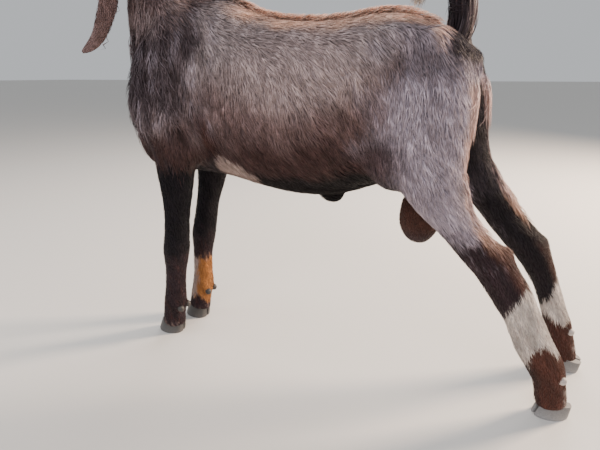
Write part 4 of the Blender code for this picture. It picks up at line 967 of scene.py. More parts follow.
for side in BOTH:
    raise_lids(head, side)
face_tree = skin_tree(head)
for side in BOTH:
    socket, lids, nostril = (bmesh.new() for _ in range(3))
    add_ball(socket, HEAD @ sided(EYE_PLACE, side), (EYE_RADIUS + SOCKET_GAP,) * 3, rings=32)
    add_lid_opening(lids, side)
    add_nostril(nostril, face_tree, side)
    for cutter in (socket, lids, nostril):
        boolean(head, cutter, "DIFFERENCE")
mouth_blade = bmesh.new()
add_mouth(mouth_blade, face_tree)
boolean(head, mouth_blade, "DIFFERENCE")
print("face cut:", len(head.data.polygons), "faces")

# %% [markdown]
# ## One skin
# The head and the body are cut by the same plane just below the jaw, and their two rims are
# bridged. The result is one closed skin from the nose to the tail with no seam.


# %% Stitch head and body
def largest_part(bm):
    """Delete every loose part of a mesh but the one with the most faces."""
    left = set(bm.faces)
    parts = []
    while left:
        front = [left.pop()]
        part = list(front)
        while front:
            for edge in front.pop().edges:
                for other in edge.link_faces:
                    if other in left:
                        left.remove(other)
                        front.append(other)
                        part.append(other)
        parts.append(part)
    parts.sort(key=len)
    for part in parts[:-1]:
        bmesh.ops.delete(bm, geom=part, context="FACES")


SEAM_GAP = 0.006
SEAM_BAND = 0.012
SEAM_FLOOR = 0.9
SEAM_SMOOTHING = 4
cut_open(head, SEAM_PLACE + SEAM_NORMAL * SEAM_GAP / 2, SEAM_NORMAL)
cut_open(body, SEAM_PLACE - SEAM_NORMAL * SEAM_GAP / 2, -SEAM_NORMAL)
stitched = bmesh.new()
for piece in (head, body):
    part = opened(piece.data)
    largest_part(part)
    stitched.from_mesh(written_back(part, bpy.data.meshes.new("kept")))
    bpy.data.objects.remove(piece, do_unlink=True)
bmesh.ops.bridge_loops(stitched, edges=open_rim(stitched))
bmesh.ops.triangulate(stitched, faces=[face for face in stitched.faces if len(face.verts) > 4])


def near_seam(place):
    return abs((place - SEAM_PLACE).dot(SEAM_NORMAL)) < SEAM_BAND and place.z > SEAM_FLOOR


seam_points = [vertex for vertex in stitched.verts if near_seam(vertex.co)]
all_axes = {f"use_axis_{axis}": True for axis in "xyz"}
for _ in range(SEAM_SMOOTHING):
    bmesh.ops.smooth_vert(stitched, verts=seam_points, factor=0.5, **all_axes)
open_edges = len(open_rim(stitched))
skin = goat_object("goat_skin", mesh_of(stitched, "goat_skin"))
skin.data.shade_smooth()
print("skin:", len(skin.data.polygons), "faces,", open_edges, "open edges")

# %% [markdown]
# ## Ears
# The long ears hang like leaves. Each is rolled into a cup at its root and opens out as it
# falls, thick in the middle and thin at its rims, so it is made as a closed loft of leaf
# sections and joined to the skin.

# %% Make and join the ears
EARS = {
    LEFT: [
        (-0.082, 0.044, 1.120, 0.026, 100),
        (-0.082, 0.070, 1.112, 0.031, 84),
        (-0.078, 0.092, 1.086, 0.037, 62),
        (-0.071, 0.107, 1.042, 0.043, 44),
        (-0.064, 0.115, 0.990, 0.044, 32),
        (-0.058, 0.120, 0.935, 0.031, 26),
        (-0.060, 0.123, 0.885, 0.0245, 26),
        (-0.077, 0.123, 0.842, 0.0205, 30),
        (-0.098, 0.121, 0.811, 0.0190, 32),
        (-0.127, 0.118, 0.787, 0.013, 28),
        (-0.156, 0.114, 0.773, 0.003, 12),
    ],
    RIGHT: [
        (-0.082, 0.044, 1.120, 0.026, 100),
        (-0.083, 0.070, 1.113, 0.031, 84),
        (-0.080, 0.093, 1.088, 0.037, 62),
        (-0.071, 0.110, 1.042, 0.043, 44),
        (-0.062, 0.119, 0.990, 0.044, 32),
        (-0.054, 0.125, 0.935, 0.033, 26),
        (-0.052, 0.128, 0.884, 0.0265, 26),
        (-0.060, 0.129, 0.838, 0.0215, 30),
        (-0.080, 0.127, 0.802, 0.020, 34),
        (-0.106, 0.123, 0.780, 0.013, 28),
        (-0.131, 0.118, 0.768, 0.003, 12),
    ],
}
EAR_STEPS = 5
EAR_ACROSS = 14
EAR_THICK = 0.0040
EAR_RIM = 0.0011
EAR_RIPPLE = 0.0008
EAR_TURNED_BY = 0.3


def ear_sections(side):
    """Closed leaf sections down the ear: along the outside, then back along the hollow side."""
    path = smooth_rows(EARS[side], EAR_STEPS)
    points = [sided(row, side) for row in path]
    sections = []
    for i, row in enumerate(path):
        along = heading(points, i)
        share = min(i / (len(path) - 1) / EAR_TURNED_BY, 1)
        outward = Vector((0.35, side * 0.5, 0.8)).lerp(Vector((0.1, side, 0)), share)
        across = along.cross(outward).normalized()
        outward = across.cross(along).normalized()
        roll = math.radians(row[4])
        radius = row[3] / roll
        outside, inside = [], []
        for k in range(EAR_ACROSS + 1):
            spread = 2 * k / EAR_ACROSS - 1
            angle = roll * spread
            bow = outward * (radius * (math.cos(angle) - 1)) + across * (radius * math.sin(angle))
            wall = outward * math.cos(angle) + across * math.sin(angle)
            ripple = EAR_RIPPLE * math.sin(9 * math.pi * i / len(path)) * abs(spread) ** 2
            half = (EAR_RIM + (EAR_THICK - EAR_RIM) * (1 - spread**4) * min(row[3] / 0.02, 1)) / 2
            outside.append(points[i] + bow + wall * (half + ripple))
            inside.append(points[i] + bow - wall * (half - ripple))
        sections.append(outside + list(reversed(inside)))
    return sections


for side in BOTH:
    leaf = bmesh.new()
    add_rings(leaf, ear_sections(side))
    bmesh.ops.triangulate(leaf, faces=leaf.faces)
    boolean(skin, leaf, "UNION")
skin.data.shade_smooth()


def triangle_count(mesh):
    mesh.calc_loop_triangles()
    return len(mesh.loop_triangles)


# The finer mesh round the eyes makes the skin heavy, so its flattest triangles are merged
SKIN_TRIANGLES = 188000
full = triangle_count(skin.data)
lightened(skin, min(SKIN_TRIANGLES / full, 1))
print("skin with ears:", full, "triangles, lightened to", triangle_count(skin.data))


# %% [markdown]
# ## Markings
# The goat is grey-brown with a silvery rump, a dark neck base, near-black legs, cream stockings
# behind, a golden patch on the far fore shin, a black tail with a white tip and dark red-brown
# ears. Light and shade are painted in too: a warm rim light along the back and behind the thighs,
# and shade in the armpit, between the thighs and on the far hind leg. Skin and hair must agree,
# so one function gives the colour of any place on the animal, and both the skin's points and
# every tuft's root ask it.

# %% Colours, ramps and ragged edges
PAINTS = {
    "silver": (0.375, 0.318, 0.370),
    "taupe": (0.235, 0.178, 0.182),
    "back_light": (0.310, 0.250, 0.248),
    # A warm tan that paints the rim light from behind along the back and the rear edges of the thighs
    "painted_rim_light": (0.800, 0.500, 0.370),
    "rib_brown": (0.190, 0.124, 0.120),
    "rib_light": (0.430, 0.332, 0.324),
    "low_brown": (0.058, 0.030, 0.028),
    "neck_dark": (0.050, 0.036, 0.042),
    "neck_brown": (0.170, 0.120, 0.118),
    "red_brown": (0.085, 0.031, 0.021),
    "near_black": (0.008, 0.006, 0.009),
    "maroon": (0.030, 0.017, 0.021),
    "belly_black": (0.007, 0.005, 0.006),
    "cream": (0.560, 0.500, 0.460),
    "cream_grey": (0.370, 0.280, 0.250),
    "gold": (0.400, 0.165, 0.050),
    "tail_black": (0.019, 0.013, 0.016),
    "white": (0.700, 0.670, 0.620),
    "bare_pink": (0.230, 0.150, 0.135),
    "ear_brown": (0.185, 0.115, 0.108),
    "scrotum": (0.070, 0.030, 0.022),
    "nose_dark": (0.030, 0.022, 0.022),
    "face_brown": (0.085, 0.048, 0.040),
}
WAVES = 14


def waves(points, size, seed, stretch=(1, 1, 1)):
    """A smooth random field of about unit height whose swells are about size across."""
    draw = np.random.default_rng(seed)
    total = np.zeros(len(points))
    shrunk = points / np.array(stretch)
    for _ in range(WAVES):
        way = draw.normal(size=3)
        way *= math.tau * draw.uniform(0.6, 1.7) / (size * np.linalg.norm(way))
        total += np.sin(shrunk @ way + draw.uniform(0, math.tau))
    return total / math.sqrt(WAVES / 2)


def ramp(value, low, high):
    """0 below low, 1 above high, smooth between. The other way round where low is the larger."""
    share = np.clip((value - low) / (high - low), 0, 1)
    return share * share * (3 - 2 * share)


def layered(p, base, *layers):
    """A base paint everywhere, then each further paint by its share at each place, in order."""
    colour = np.tile(np.array(PAINTS[base]), (len(p), 1))
    for name, share in layers:
        colour = colour + (np.array(PAINTS[name]) - colour) * np.asarray(share)[:, None]
    return colour


def from_spot(x, z, middle, reach):
    """How far each place is from an oval's middle, 1 at its rim."""
    return np.hypot((x - middle[0]) / reach[0], (z - middle[1]) / reach[1])


def on_ears(points):
    x, out, z = points[:, 0], abs(points[:, 1]), points[:, 2]
    return (out > 0.088) & (x < -0.020) & (z > 0.755)


def on_scrotum(points):
    x, out, z = points[:, 0], abs(points[:, 1]), points[:, 2]
    return (z < 0.470) & (out < 0.055) & (x > 0.595) & (x < 0.735)


def head_places(points):
    """Points of the tables in the head's own directions: forward, left, up."""
    turn = np.array(HEAD.inverted())
    return points @ turn[:3, :3].T + turn[:3, 3]


print("paints:", len(PAINTS))


# %% Markings of the trunk and neck
TRUNK_STATIONS = [row[0] for row in TRUNK]
TRUNK_TOPS = [row[1] for row in TRUNK]
PATCH_STATIONS = (0.150, 0.172, 0.190, 0.222, 0.252, 0.280)
PATCH_TOPS = (0.500, 0.540, 0.556, 0.545, 0.528, 0.506)
# Ends of a near-black line of painted shade in the crease of the armpit
ARMPIT_SHADE_LINE = ((0.138, 0.500), (0.182, 0.566))


def leg_column(side, z):
    """A hind leg's middle, half depth and distance out at each height."""
    rows = np.array(HIND_LEG[side])[::-1]
    return [np.interp(z, rows[:, 2], rows[:, k]) for k in (0, 3, 1)]


def gap_to_line(x, z, one, two):
    way = np.array(two) - np.array(one)
    share = np.clip(((x - one[0]) * way[0] + (z - one[1]) * way[1]) / (way @ way), 0, 1)
    return np.hypot(x - one[0] - way[0] * share, z - one[1] - way[1] * share)


# The goat's side, from where to where the painted shade on its legs' inner sides fades out, and where the
# painted rim light behind begins
INNER_SHADE_AND_RIM_LIGHT = ((LEFT, -0.012, -0.03, 0.72), (RIGHT, 0.022, 0.002, 0.84))


def between_the_legs(p, fine):
    """Layers of painted shade, partly dark hair, on the inner sides of thighs and gaskins, and a painted rim
    light along their rear edges.
    """
    x, y, z = p.T
    layers = []
    for side, dark_to, dark_from, start in INNER_SHADE_AND_RIM_LIGHT:
        middle, deep, out = leg_column(side, z)
        here = (y * side > 0) * ramp(z, 0.30, 0.36) * ramp(z, 0.735, 0.70) * ramp(x, middle - deep, middle)
        inner = ramp(y * side, out + dark_to, out + dark_from)
        rim = ramp((x - middle - 0.0025 * fine) / deep, start, start + 0.15) * ramp(z, 0.37, 0.44)
        # Painted shade on the inner side, and painted rim light along the rear edge
        layers += [("near_black", 0.94 * here * inner * (1 - rim)), ("painted_rim_light", 0.55 * here * rim)]
    return layers


def trunk_markings(p):
    x, out, z = p[:, 0], abs(p[:, 1]), p[:, 2]
    edge = 0.018 * waves(p, 0.10, 3)
    streak = waves(p, 0.045, 5, (1, 1, 2.6))
    fine = waves(p, 0.016, 6, (1, 1, 3.0))
    fore = ramp(x + edge + 0.3 * (z - 0.65), 0.235, 0.105)
    rump = ramp(x + edge - 0.2 * (z - 0.65), 0.500, 0.610) * ramp(z, 0.40, 0.47)
    top = np.interp(x, TRUNK_STATIONS, TRUNK_TOPS)
    # Painted rim light: a warm tan band along the top line, where light from behind catches the hair
    crest = ramp(z - top + 0.3 * edge, -0.036, -0.010) * ramp(x, 0.15, 0.24) * ramp(x, 0.69, 0.66)
    belly = ramp(z + 0.4 * edge, 0.532, 0.500) * ramp(x, 0.250, 0.275) * ramp(x, 0.64, 0.58)
    under = ramp(z, 0.505, 0.495) * ramp(x, 0.13, 0.20) * ramp(x, 0.275, 0.255)
    patch = ramp(np.interp(x, PATCH_STATIONS, PATCH_TOPS) - z + 0.003 * fine, -0.003, 0.004)
    patch = patch * ramp(z, 0.497, 0.504) * ramp(x, 0.150, 0.156) * ramp(x, 0.282, 0.274)
    # Painted shade, partly dark hair, low between the thighs near the middle line
    inner = ramp(out, 0.062, 0.035) * ramp(z, 0.66, 0.60) * ramp(x, 0.60, 0.66)
    dock = ramp(z + 0.66 * (x - 0.69) + 0.3 * edge, 0.769, 0.784) * ramp(x, 0.672, 0.690)
    bare = ramp(from_spot(out, z, (0, 0.735), (0.030, 0.055)), 1.1, 0.75) * ramp(x, 0.720, 0.740)
    return layered(
        p,
        "low_brown",
        ("rib_brown", ramp(z + edge, 0.540, 0.640)),
        ("back_light", ramp(z + edge, 0.660, 0.800)),
        ("rib_light", 0.85 * ramp(from_spot(x, z, (0.38, 0.735), (0.17, 0.085)), 1.25, 0.5)),
        ("low_brown", 0.35 * ramp(streak, 0.3, 1.3) * ramp(z, 0.72, 0.60)),
        ("taupe", 0.9 * fore * ramp(z + edge, 0.50, 0.60)),
        ("neck_dark", 0.60 * ramp(x + edge, 0.08, -0.03) * ramp(z, 0.45, 0.60)),
        ("neck_dark", 0.80 * ramp(from_spot(x, z, (0.055, 0.765), (0.11, 0.10)) + 6 * edge, 1.2, 0.6)),
        ("low_brown", 0.92 * ramp(z + edge, 0.640, 0.575) * ramp(x, 0.26, 0.18)),
        ("silver", rump),
        ("taupe", 0.35 * rump * ramp(z + edge, 0.71, 0.78)),
        ("low_brown", 0.35 * ramp(from_spot(x, z, (0.50, 0.62), (0.10, 0.07)) + 8 * edge, 1.4, 0.4)),
        ("neck_dark", 0.50 * ramp(from_spot(x, z, (0.655, 0.755), (0.065, 0.035)) + 8 * edge, 1.3, 0.4)),
        ("low_brown", 0.80 * ramp(from_spot(x, z, (0.515, 0.555), (0.11, 0.060)) + 8 * edge, 1.4, 0.5)),
        ("neck_dark", 0.38 * rump * ramp(streak + 0.4 * fine, 0.5, 1.5) * ramp(z, 0.64, 0.74)),
        ("neck_dark", 0.14 * rump * ramp(fine, 0.6, 1.5)),
        ("painted_rim_light", 0.85 * crest),
        ("belly_black", belly),
        ("cream_grey", 0.55 * under),
        ("cream_grey", 0.95 * patch),
        # Painted shade in the armpit crease
        ("near_black", 0.9 * ramp(gap_to_line(x, z, *ARMPIT_SHADE_LINE), 0.016, 0.004) * ramp(out, 0.05, 0.08)),
        ("red_brown", 0.45 * ramp(abs(x - 0.172), 0.022, 0.008) * ramp(abs(z - 0.60), 0.07, 0.03)),
        ("neck_dark", 0.60 * ramp(x, 0.24, 0.10) * ramp(streak, 0.3, 1.2)),
        ("silver", 0.30 * ramp(x, 0.26, 0.16) * ramp(-streak, 0.5, 1.4) * ramp(z, 0.58, 0.64)),
        ("low_brown", 0.85 * inner),
        *between_the_legs(p, fine),
        ("tail_black", 0.9 * dock),
        ("bare_pink", 0.8 * bare),
    )


def neck_markings(p):
    z = p[:, 2] + 0.02 * waves(p, 0.12, 8)
    streak = waves(p, 0.040, 9, (1, 1, 3.0))
    return layered(
        p,
        "neck_dark",
        ("neck_brown", ramp(z, 0.80, 0.86)),
        ("red_brown", 0.30 * ramp(z, 0.86, 0.96)),
        ("neck_dark", 0.50 * ramp(streak, 0.1, 1.2)),
        ("back_light", 0.25 * ramp(-streak, 0.4, 1.4)),
    )


print("trunk and neck markings ready")


# %% Markings of the legs
# Where cream and gold begin and end, by place across the leg: -1 in front, 1 behind
ACROSS = (-1.0, -0.8, -0.45, -0.2, 0.0, 0.35, 0.6, 0.85, 1.0)
CREAM_TOP = {
    LEFT: (0.236, 0.246, 0.263, 0.274, 0.282, 0.290, 0.303, 0.309, 0.308),
    RIGHT: (0.172, 0.181, 0.189, 0.197, 0.205, 0.216, 0.240, 0.260, 0.264),
}
CREAM_LOW = {
    LEFT: (0.147, 0.136, 0.156, 0.168, 0.180, 0.188, 0.181, 0.163, 0.165),
    RIGHT: (0.158, 0.154, 0.145, 0.142, 0.138, 0.131, 0.138, 0.150, 0.156),
}
GOLD_LOW = (0.068, 0.067, 0.074, 0.080, 0.082, 0.076, 0.068, 0.054, 0.048)
GOLD_TOP = (0.206, 0.197)


def fore_markings(p):
    x, y, z = p.T
    edge = 0.012 * waves(p, 0.05, 12)
    fine = waves(p, 0.012, 13, (1, 1, 2.5))
    rows = np.array(fore_leg_rows(RIGHT))[::-1]
    across = (x - np.interp(z, rows[:, 2], rows[:, 0])) / np.interp(z, rows[:, 2], rows[:, 3])
    low = np.interp(across, ACROSS, GOLD_LOW)
    band = (y > 0) * ramp(z - low + 0.003 * fine, -0.004, 0.004)
    band = band * ramp(z + 0.5 * edge + 0.003 * fine, *GOLD_TOP)
    return layered(
        p,
        "near_black",
        ("maroon", ramp(z + edge, 0.30, 0.22)),
        ("red_brown", 0.3 * ramp(fine, 0.4, 1.3) * ramp(z, 0.30, 0.20)),
        ("cream_grey", band),
        ("gold", band * ramp(across + 0.10 * fine, -0.30, 0.05)),
        ("cream_grey", 0.4 * ramp(z + edge, 0.045, 0.030) * ramp(fine, 0.0, 1.0)),
    )


def hind_markings(p):
    x, y, z = p.T
    far = y > 0
    edge = 0.012 * waves(p, 0.045, 15)
    fine = waves(p, 0.011, 16, (1, 1, 2.5))
    columns = zip(leg_column(RIGHT, z)[:2], leg_column(LEFT, z)[:2])
    middle, deep = (np.where(far, one, two) for one, two in columns)
    across = (x - middle) / (deep * 1.12)
    dark_from = np.where(far, 0.475, 0.424) + 0.10 * (x - middle)
    dark = ramp(z + 0.8 * edge + 0.006 * fine, dark_from, dark_from - 0.036)
    tops, lows = (
        np.where(far, np.interp(across, ACROSS, rim[RIGHT]), np.interp(across, ACROSS, rim[LEFT]))
        for rim in (CREAM_TOP, CREAM_LOW)
    )
    height = z + 0.25 * edge + 0.0035 * fine
    band = ramp(height, tops + 0.004, tops - 0.004) * ramp(height, lows - 0.004, lows + 0.004)
    chestnut = ramp(z, lows + 0.02, lows) * (1 - band)
    rear = ramp(across, 0.45, 0.85) * ramp(z, 0.088, 0.074) * ramp(z, 0.034, 0.045)
    return layered(
        p,
        "silver",
        ("neck_dark", 0.35 * ramp(fine, 0.3, 1.4) * ramp(z, 0.46, 0.42)),
        ("maroon", dark),
        # Painted shade: the far hind leg, seen from its shaded inner side, is painted near-black
        ("near_black", 0.8 * dark * far),
        ("silver", 0.22 * dark * ramp(fine, 0.5, 1.4) * ramp(z, 0.33, 0.37)),
        ("red_brown", 0.60 * ramp(across, 0.35, 0.85) * ramp(z, 0.45, 0.41)),
        *between_the_legs(p, fine),
        ("red_brown", chestnut * np.where(far, 0.75, 0.9)),
        ("near_black", 0.5 * chestnut * ramp(across, -0.3, -0.8)),
        ("cream", band),
        ("cream_grey", 0.45 * band * ramp(fine + 0.5 * waves(p, 0.03, 17), 0.6, 1.5)),
        ("cream", 0.6 * rear * ramp(fine, -0.4, 0.6)),
    )


print("leg markings ready")


# %% Markings of the head, ears and tail, and all of them together
def gap_to_nose(forward, left, up):
    return np.sqrt((forward - NOSE_CENTRE.x - 0.006) ** 2 + (0.8 * left) ** 2 + (up - NOSE_CENTRE.z) ** 2)


def gap_to_eye(forward, left, up):
    return np.sqrt((forward - EYE_PLACE.x) ** 2 + (up - EYE_PLACE.z) ** 2 + (abs(left) - EYE_PLACE.y) ** 2)


def head_markings(p):
    forward, left, up = head_places(p).T
    edge = 0.010 * waves(p, 0.06, 18)
    fine = waves(p, 0.015, 19, (2.0, 1, 1))
    bridge = ramp(forward + 0.9 * up + edge, 0.15, 0.23) * ramp(abs(left), 0.034, 0.020)
    lips = ramp(abs(up - MOUTH_HEIGHT) - 0.35 * (forward - 0.26), 0.011, 0.004) * ramp(forward, 0.200, 0.235)
    nose = ramp(gap_to_nose(forward, left, up) + 0.2 * edge, 0.034, 0.024)
    return layered(
        p,
        "face_brown",
        ("neck_dark", 0.6 * ramp(up + edge, 0.00, 0.05)),
        ("taupe", 0.45 * ramp(fine, 0.3, 1.5)),
        ("neck_brown", ramp(forward + edge, 0.06, -0.02)),
        ("nose_dark", 0.9 * ramp(gap_to_eye(forward, left, up), 0.026, 0.0185)),
        ("taupe", 0.5 * ramp(forward + edge, 0.225, 0.262)),
        ("neck_dark", 0.6 * bridge),
        ("nose_dark", np.maximum(nose, 0.9 * lips)),
    )


def ear_markings(p):
    x, _, z = p.T
    ahead = ramp(x + 0.5 * (0.95 - z) * (z < 0.95), -0.075, -0.095)
    patches = 0.7 * ramp(waves(p, 0.03, 21), 0.2, 1.2)
    return layered(p, "ear_brown", ("face_brown", patches), ("face_brown", 0.6 * ahead))


def tail_markings(p):
    x, _, z = p.T
    tip = ramp(x + 0.004 * waves(p, 0.012, 24), 0.648, 0.636)
    rear = ramp(x - 0.715 + 0.006 * waves(p, 0.02, 25), -0.002, 0.014) * ramp(z, 0.90, 0.86)
    return layered(p, "tail_black", ("white", tip), ("neck_brown", 0.8 * rear))


def scrotum_markings(p):
    return layered(p, "scrotum", ("maroon", 0.8 * ramp(p[:, 2], 0.400, 0.355)))


def region_of(p):
    """Which part of the goat each place belongs to, by name."""
    x, y, z = p.T
    neck_up = -0.64 * (x - 0.005) + 0.77 * (z - 0.785)
    above_seam = (p - np.array(SEAM_PLACE)) @ np.array(SEAM_NORMAL)
    names = np.full(len(p), "trunk", dtype="<U8")
    names[neck_up > 0] = "neck"
    names[(above_seam > 0) & (x < 0.30)] = "head"
    names[(z < 0.512) & (x < 0.150)] = "fore"
    names[(z < 0.485) & (x > 0.560) & (z < 0.485 + 0.35 * (x - 0.66))] = "hind"
    names[(x > 0.80) & (z < 0.60)] = "hind"
    names[on_scrotum(p)] = "scrotum"
    names[on_tail(p)] = "tail"
    names[on_ears(p)] = "ears"
    return names


MARKINGS = {
    "trunk": trunk_markings,
    "neck": neck_markings,
    "head": head_markings,
    "fore": fore_markings,
    "hind": hind_markings,
    "ears": ear_markings,
    "tail": tail_markings,
    "scrotum": scrotum_markings,
}
REGION_FADE = 0.012


def markings(p):
    """The goat's colour at each place, with regions faded into each other by a little scatter."""
    draw = np.random.default_rng(SEED)
    names = region_of(p + draw.normal(scale=REGION_FADE, size=p.shape) * (1, 0.2, 1))
    strict = region_of(p)
    for part in ("tail", "ears", "scrotum"):
        names[(names == part) | (strict == part)] = "trunk"
        names[strict == part] = part
    colour = np.empty(p.shape)
    for part in np.unique(names):
        here = names == part
        colour[here] = MARKINGS[part](p[here])
    return np.clip(colour, 0.002, 1)


print("regions:", sorted(MARKINGS))

# %% [markdown]
# ## Materials of skin and hair
# Both read the colour that the markings gave, as an attribute, and add what a flat colour lacks:
# small changes of tone, and the grain of fine hairs as bump. On the skin the grain runs down the
# body, and on a tuft along its own strands, which its second UV map measures.


# %% Skin and hair materials
def fill_inputs(tree, node, inputs):
    """Give a node's inputs plain values or other nodes' outputs."""
    for title, value in inputs.items():
        if isinstance(value, bpy.types.NodeSocket):
            tree.links.new(value, node.inputs[title])
        else:
            node.inputs[title].default_value = value


def add_node(tree, kind, inputs, **settings):
    """A node with its settings and inputs. Returns its outputs."""
    node = tree.nodes.new(kind)
    for title, value in settings.items():
        setattr(node, title, value)
    fill_inputs(tree, node, inputs)
    return node.outputs


NOISE_RANGE = {"From Min": 0.3, "From Max": 0.7}


def grained(name, colour, noises, finish, bump=None):
    """A material whose colour is made darker and lighter by noises, the last of them its grain.

    The colour is an attribute's name or a plain colour. A noise is its coordinates, scale,
    detail and stretch, and its darkest and lightest tone. Bump is a distance and a strength.
    """
    made = bpy.data.materials.new(name)
    made.use_nodes = True
    tree = made.node_tree
    if isinstance(colour, str):
        shade = add_node(tree, "ShaderNodeAttribute", {}, attribute_name=colour)["Color"]
    else:
        shade = add_node(tree, "ShaderNodeRGB", {})["Color"]
        shade.default_value = colour
    for source, scale, detail, stretch, low, high in noises:
        if source == "strand":
            place = add_node(tree, "ShaderNodeUVMap", {}, uv_map="strand")["UV"]
        else:
            place = add_node(tree, "ShaderNodeTexCoord", {})["Object"]
        mapped = add_node(tree, "ShaderNodeMapping", {"Vector": place, "Scale": stretch})["Vector"]
        grain = add_node(tree, "ShaderNodeTexNoise", {"Vector": mapped, "Scale": scale, "Detail": detail})["Fac"]
        tones = {"Value": grain, "To Min": low, "To Max": high, **NOISE_RANGE}
        tone = add_node(tree, "ShaderNodeMapRange", tones)["Result"]
        product = {0: shade, "Scale": tone}
        shade = add_node(tree, "ShaderNodeVectorMath", product, operation="SCALE")["Vector"]
    if bump:
        relief = {"Height": grain, "Distance": bump[0], "Strength": bump[1]}
        finish = {**finish, "Normal": add_node(tree, "ShaderNodeBump", relief)["Normal"]}
    fill_inputs(tree, tree.nodes["Principled BSDF"], {"Base Color": shade, **finish})
    return made


EVEN = (1, 1, 1)
SKIN_PAINT = grained(
    "short_coat_over_skin",
    "coat_colour",
    [("place", 55, 4, EVEN, 0.82, 1.18), ("place", 420, 3, (1, 1, 0.16), 0.75, 1.2)],
    {"Roughness": 0.62, "Specular IOR Level": 0.15},
    bump=(0.0012, 0.7),
)
HAIR_PAINT = grained(
    "goat_hair",
    "coat_colour",
    [("place", 70, 3, EVEN, 0.86, 1.14), ("strand", 7, 2, (1.0, 0.12, 1.0), 0.72, 1.22)],
    {"Roughness": 0.50, "Specular IOR Level": 0.14, "Sheen Weight": 0.02, "Sheen Roughness": 0.45},
    bump=(0.0004, 0.5),
)


def give_colours(mesh, colours, name="coat_colour"):
    """Store one linear colour for each point of a mesh."""
    layer = mesh.color_attributes.new(name, "FLOAT_COLOR", "POINT")
    four = np.concatenate([colours, np.ones((len(colours), 1))], axis=1)
    layer.data.foreach_set("color", four.astype(np.float32).ravel())


def hard_mesh(bm, name, colours, paint):
    """The closed shape in bm as a smooth, painted mesh."""
    mesh = mesh_of(bm, name)
    give_colours(mesh, np.array(colours))
    mesh.materials.append(paint)
    mesh.shade_smooth()
    return mesh


# The skin seen between tufts is darker than the markings: partly darker under-coat, partly painted shade in the
# coat's depth. Short-haired places keep the full colour.
UNDER_COAT_AND_SHADE = 0.80
skin_places, _ = mesh_arrays(skin.data)
bare_share = ramp(groomed(skin_places)[:, LENGTH], 0.012, 0.006)
under = markings(skin_places) * (UNDER_COAT_AND_SHADE + (1 - UNDER_COAT_AND_SHADE) * bare_share)[:, None]
give_colours(skin.data, under)
skin.data.materials.clear()
skin.data.materials.append(SKIN_PAINT)
print("skin coloured, mean", under.mean(0).round(3))


# %% [markdown]
# ## Tufts
# A goat's coat is seen as small pointed bundles of hair, not as single hairs. Each tuft is a
# closed three-sided spike: rooted just under the skin, combed along the lie, rising to the
# coat's depth at its tip. Thousands are written as one mesh from arrays, which is quick and
# keeps every tuft editable by the guides.

# %% Comb tufts over the skin
ROOT_SINK = 0.0012
TUFT_FLATNESS = 0.42
TUFT_STATIONS = ((0.0, -1.0, 0.75), (0.45, 0.60, 1.0), (1.0, 1.0, 0.0))
STRAND_STATIONS = (
    (0.0, -1.0, 0.70),
    (0.22, 0.62, 1.0),
    (0.48, 0.90, 0.90),
    (0.76, 1.00, 0.55),
    (1.0, 1.05, 0.0),
)


def unit(vectors):
    return vectors / np.maximum(np.linalg.norm(vectors, axis=-1, keepdims=True), 1e-9)


def nearest_skin(tree, points):
    """The closest place on a surface to each point, and the surface's direction there."""
    found = [tree.find_nearest(point)[:2] for point in points.tolist()]
    return np.array([hit[0] for hit in found]), np.array([hit[1] for hit in found])


def combed(tree, roots, outs, lies, lengths, lifts, curls, stations):
    """Follow the skin from every root along its lie. Points and outward directions per station."""
    places, ups = roots, outs
    points, directions = [], []
    reached = 0
    for share, rise, _ in stations:
        aim = lies + np.cross(ups, lies) * (curls * share)[:, None]
        aim = unit(aim - ups * (aim * ups).sum(1, keepdims=True))
        if share > reached:
            places, ups = nearest_skin(tree, places + aim * (lengths * (share - reached))[:, None])
        reached = share
        height = -ROOT_SINK if rise < 0 else lifts * rise
        points.append(places + ups * np.reshape(height, (-1, 1)))
        directions.append(ups)
    return np.stack(points, axis=1), np.stack(directions, axis=1)


def tuft_pattern(stations):
    """One tuft's triangles: point numbers, and how far across and along each corner lies."""
    last = 3 * (stations - 1)
    triangles = [(0, 1, 2)]
    for ring in range(stations - 2):
        low, high = 3 * ring, 3 * ring + 3
        for one, two in ((0, 1), (1, 2), (2, 0)):
            triangles.append((low + one, high + one, high + two))
            triangles.append((low + one, high + two, low + two))
    for one, two in ((0, 1), (1, 2), (2, 0)):
        triangles.append((last - 3 + one, last, last - 3 + two))
    corners = np.array(triangles).ravel()
    across = np.where(corners == last, 0.5, (corners % 3) / 2)
    along = (corners // 3) / (stations - 1)
    return corners, across, along


PATCH = 0.003
# Tone along a tuft: darker at the root as painted shade in the coat's depth, lighter at the tip, partly grey
# hair tips and partly painted sheen
TUFT_ROOT_SHADE_AND_TIP_SHEEN = ((0, 0.4, 1), (0.74, 1.0, 1.12))


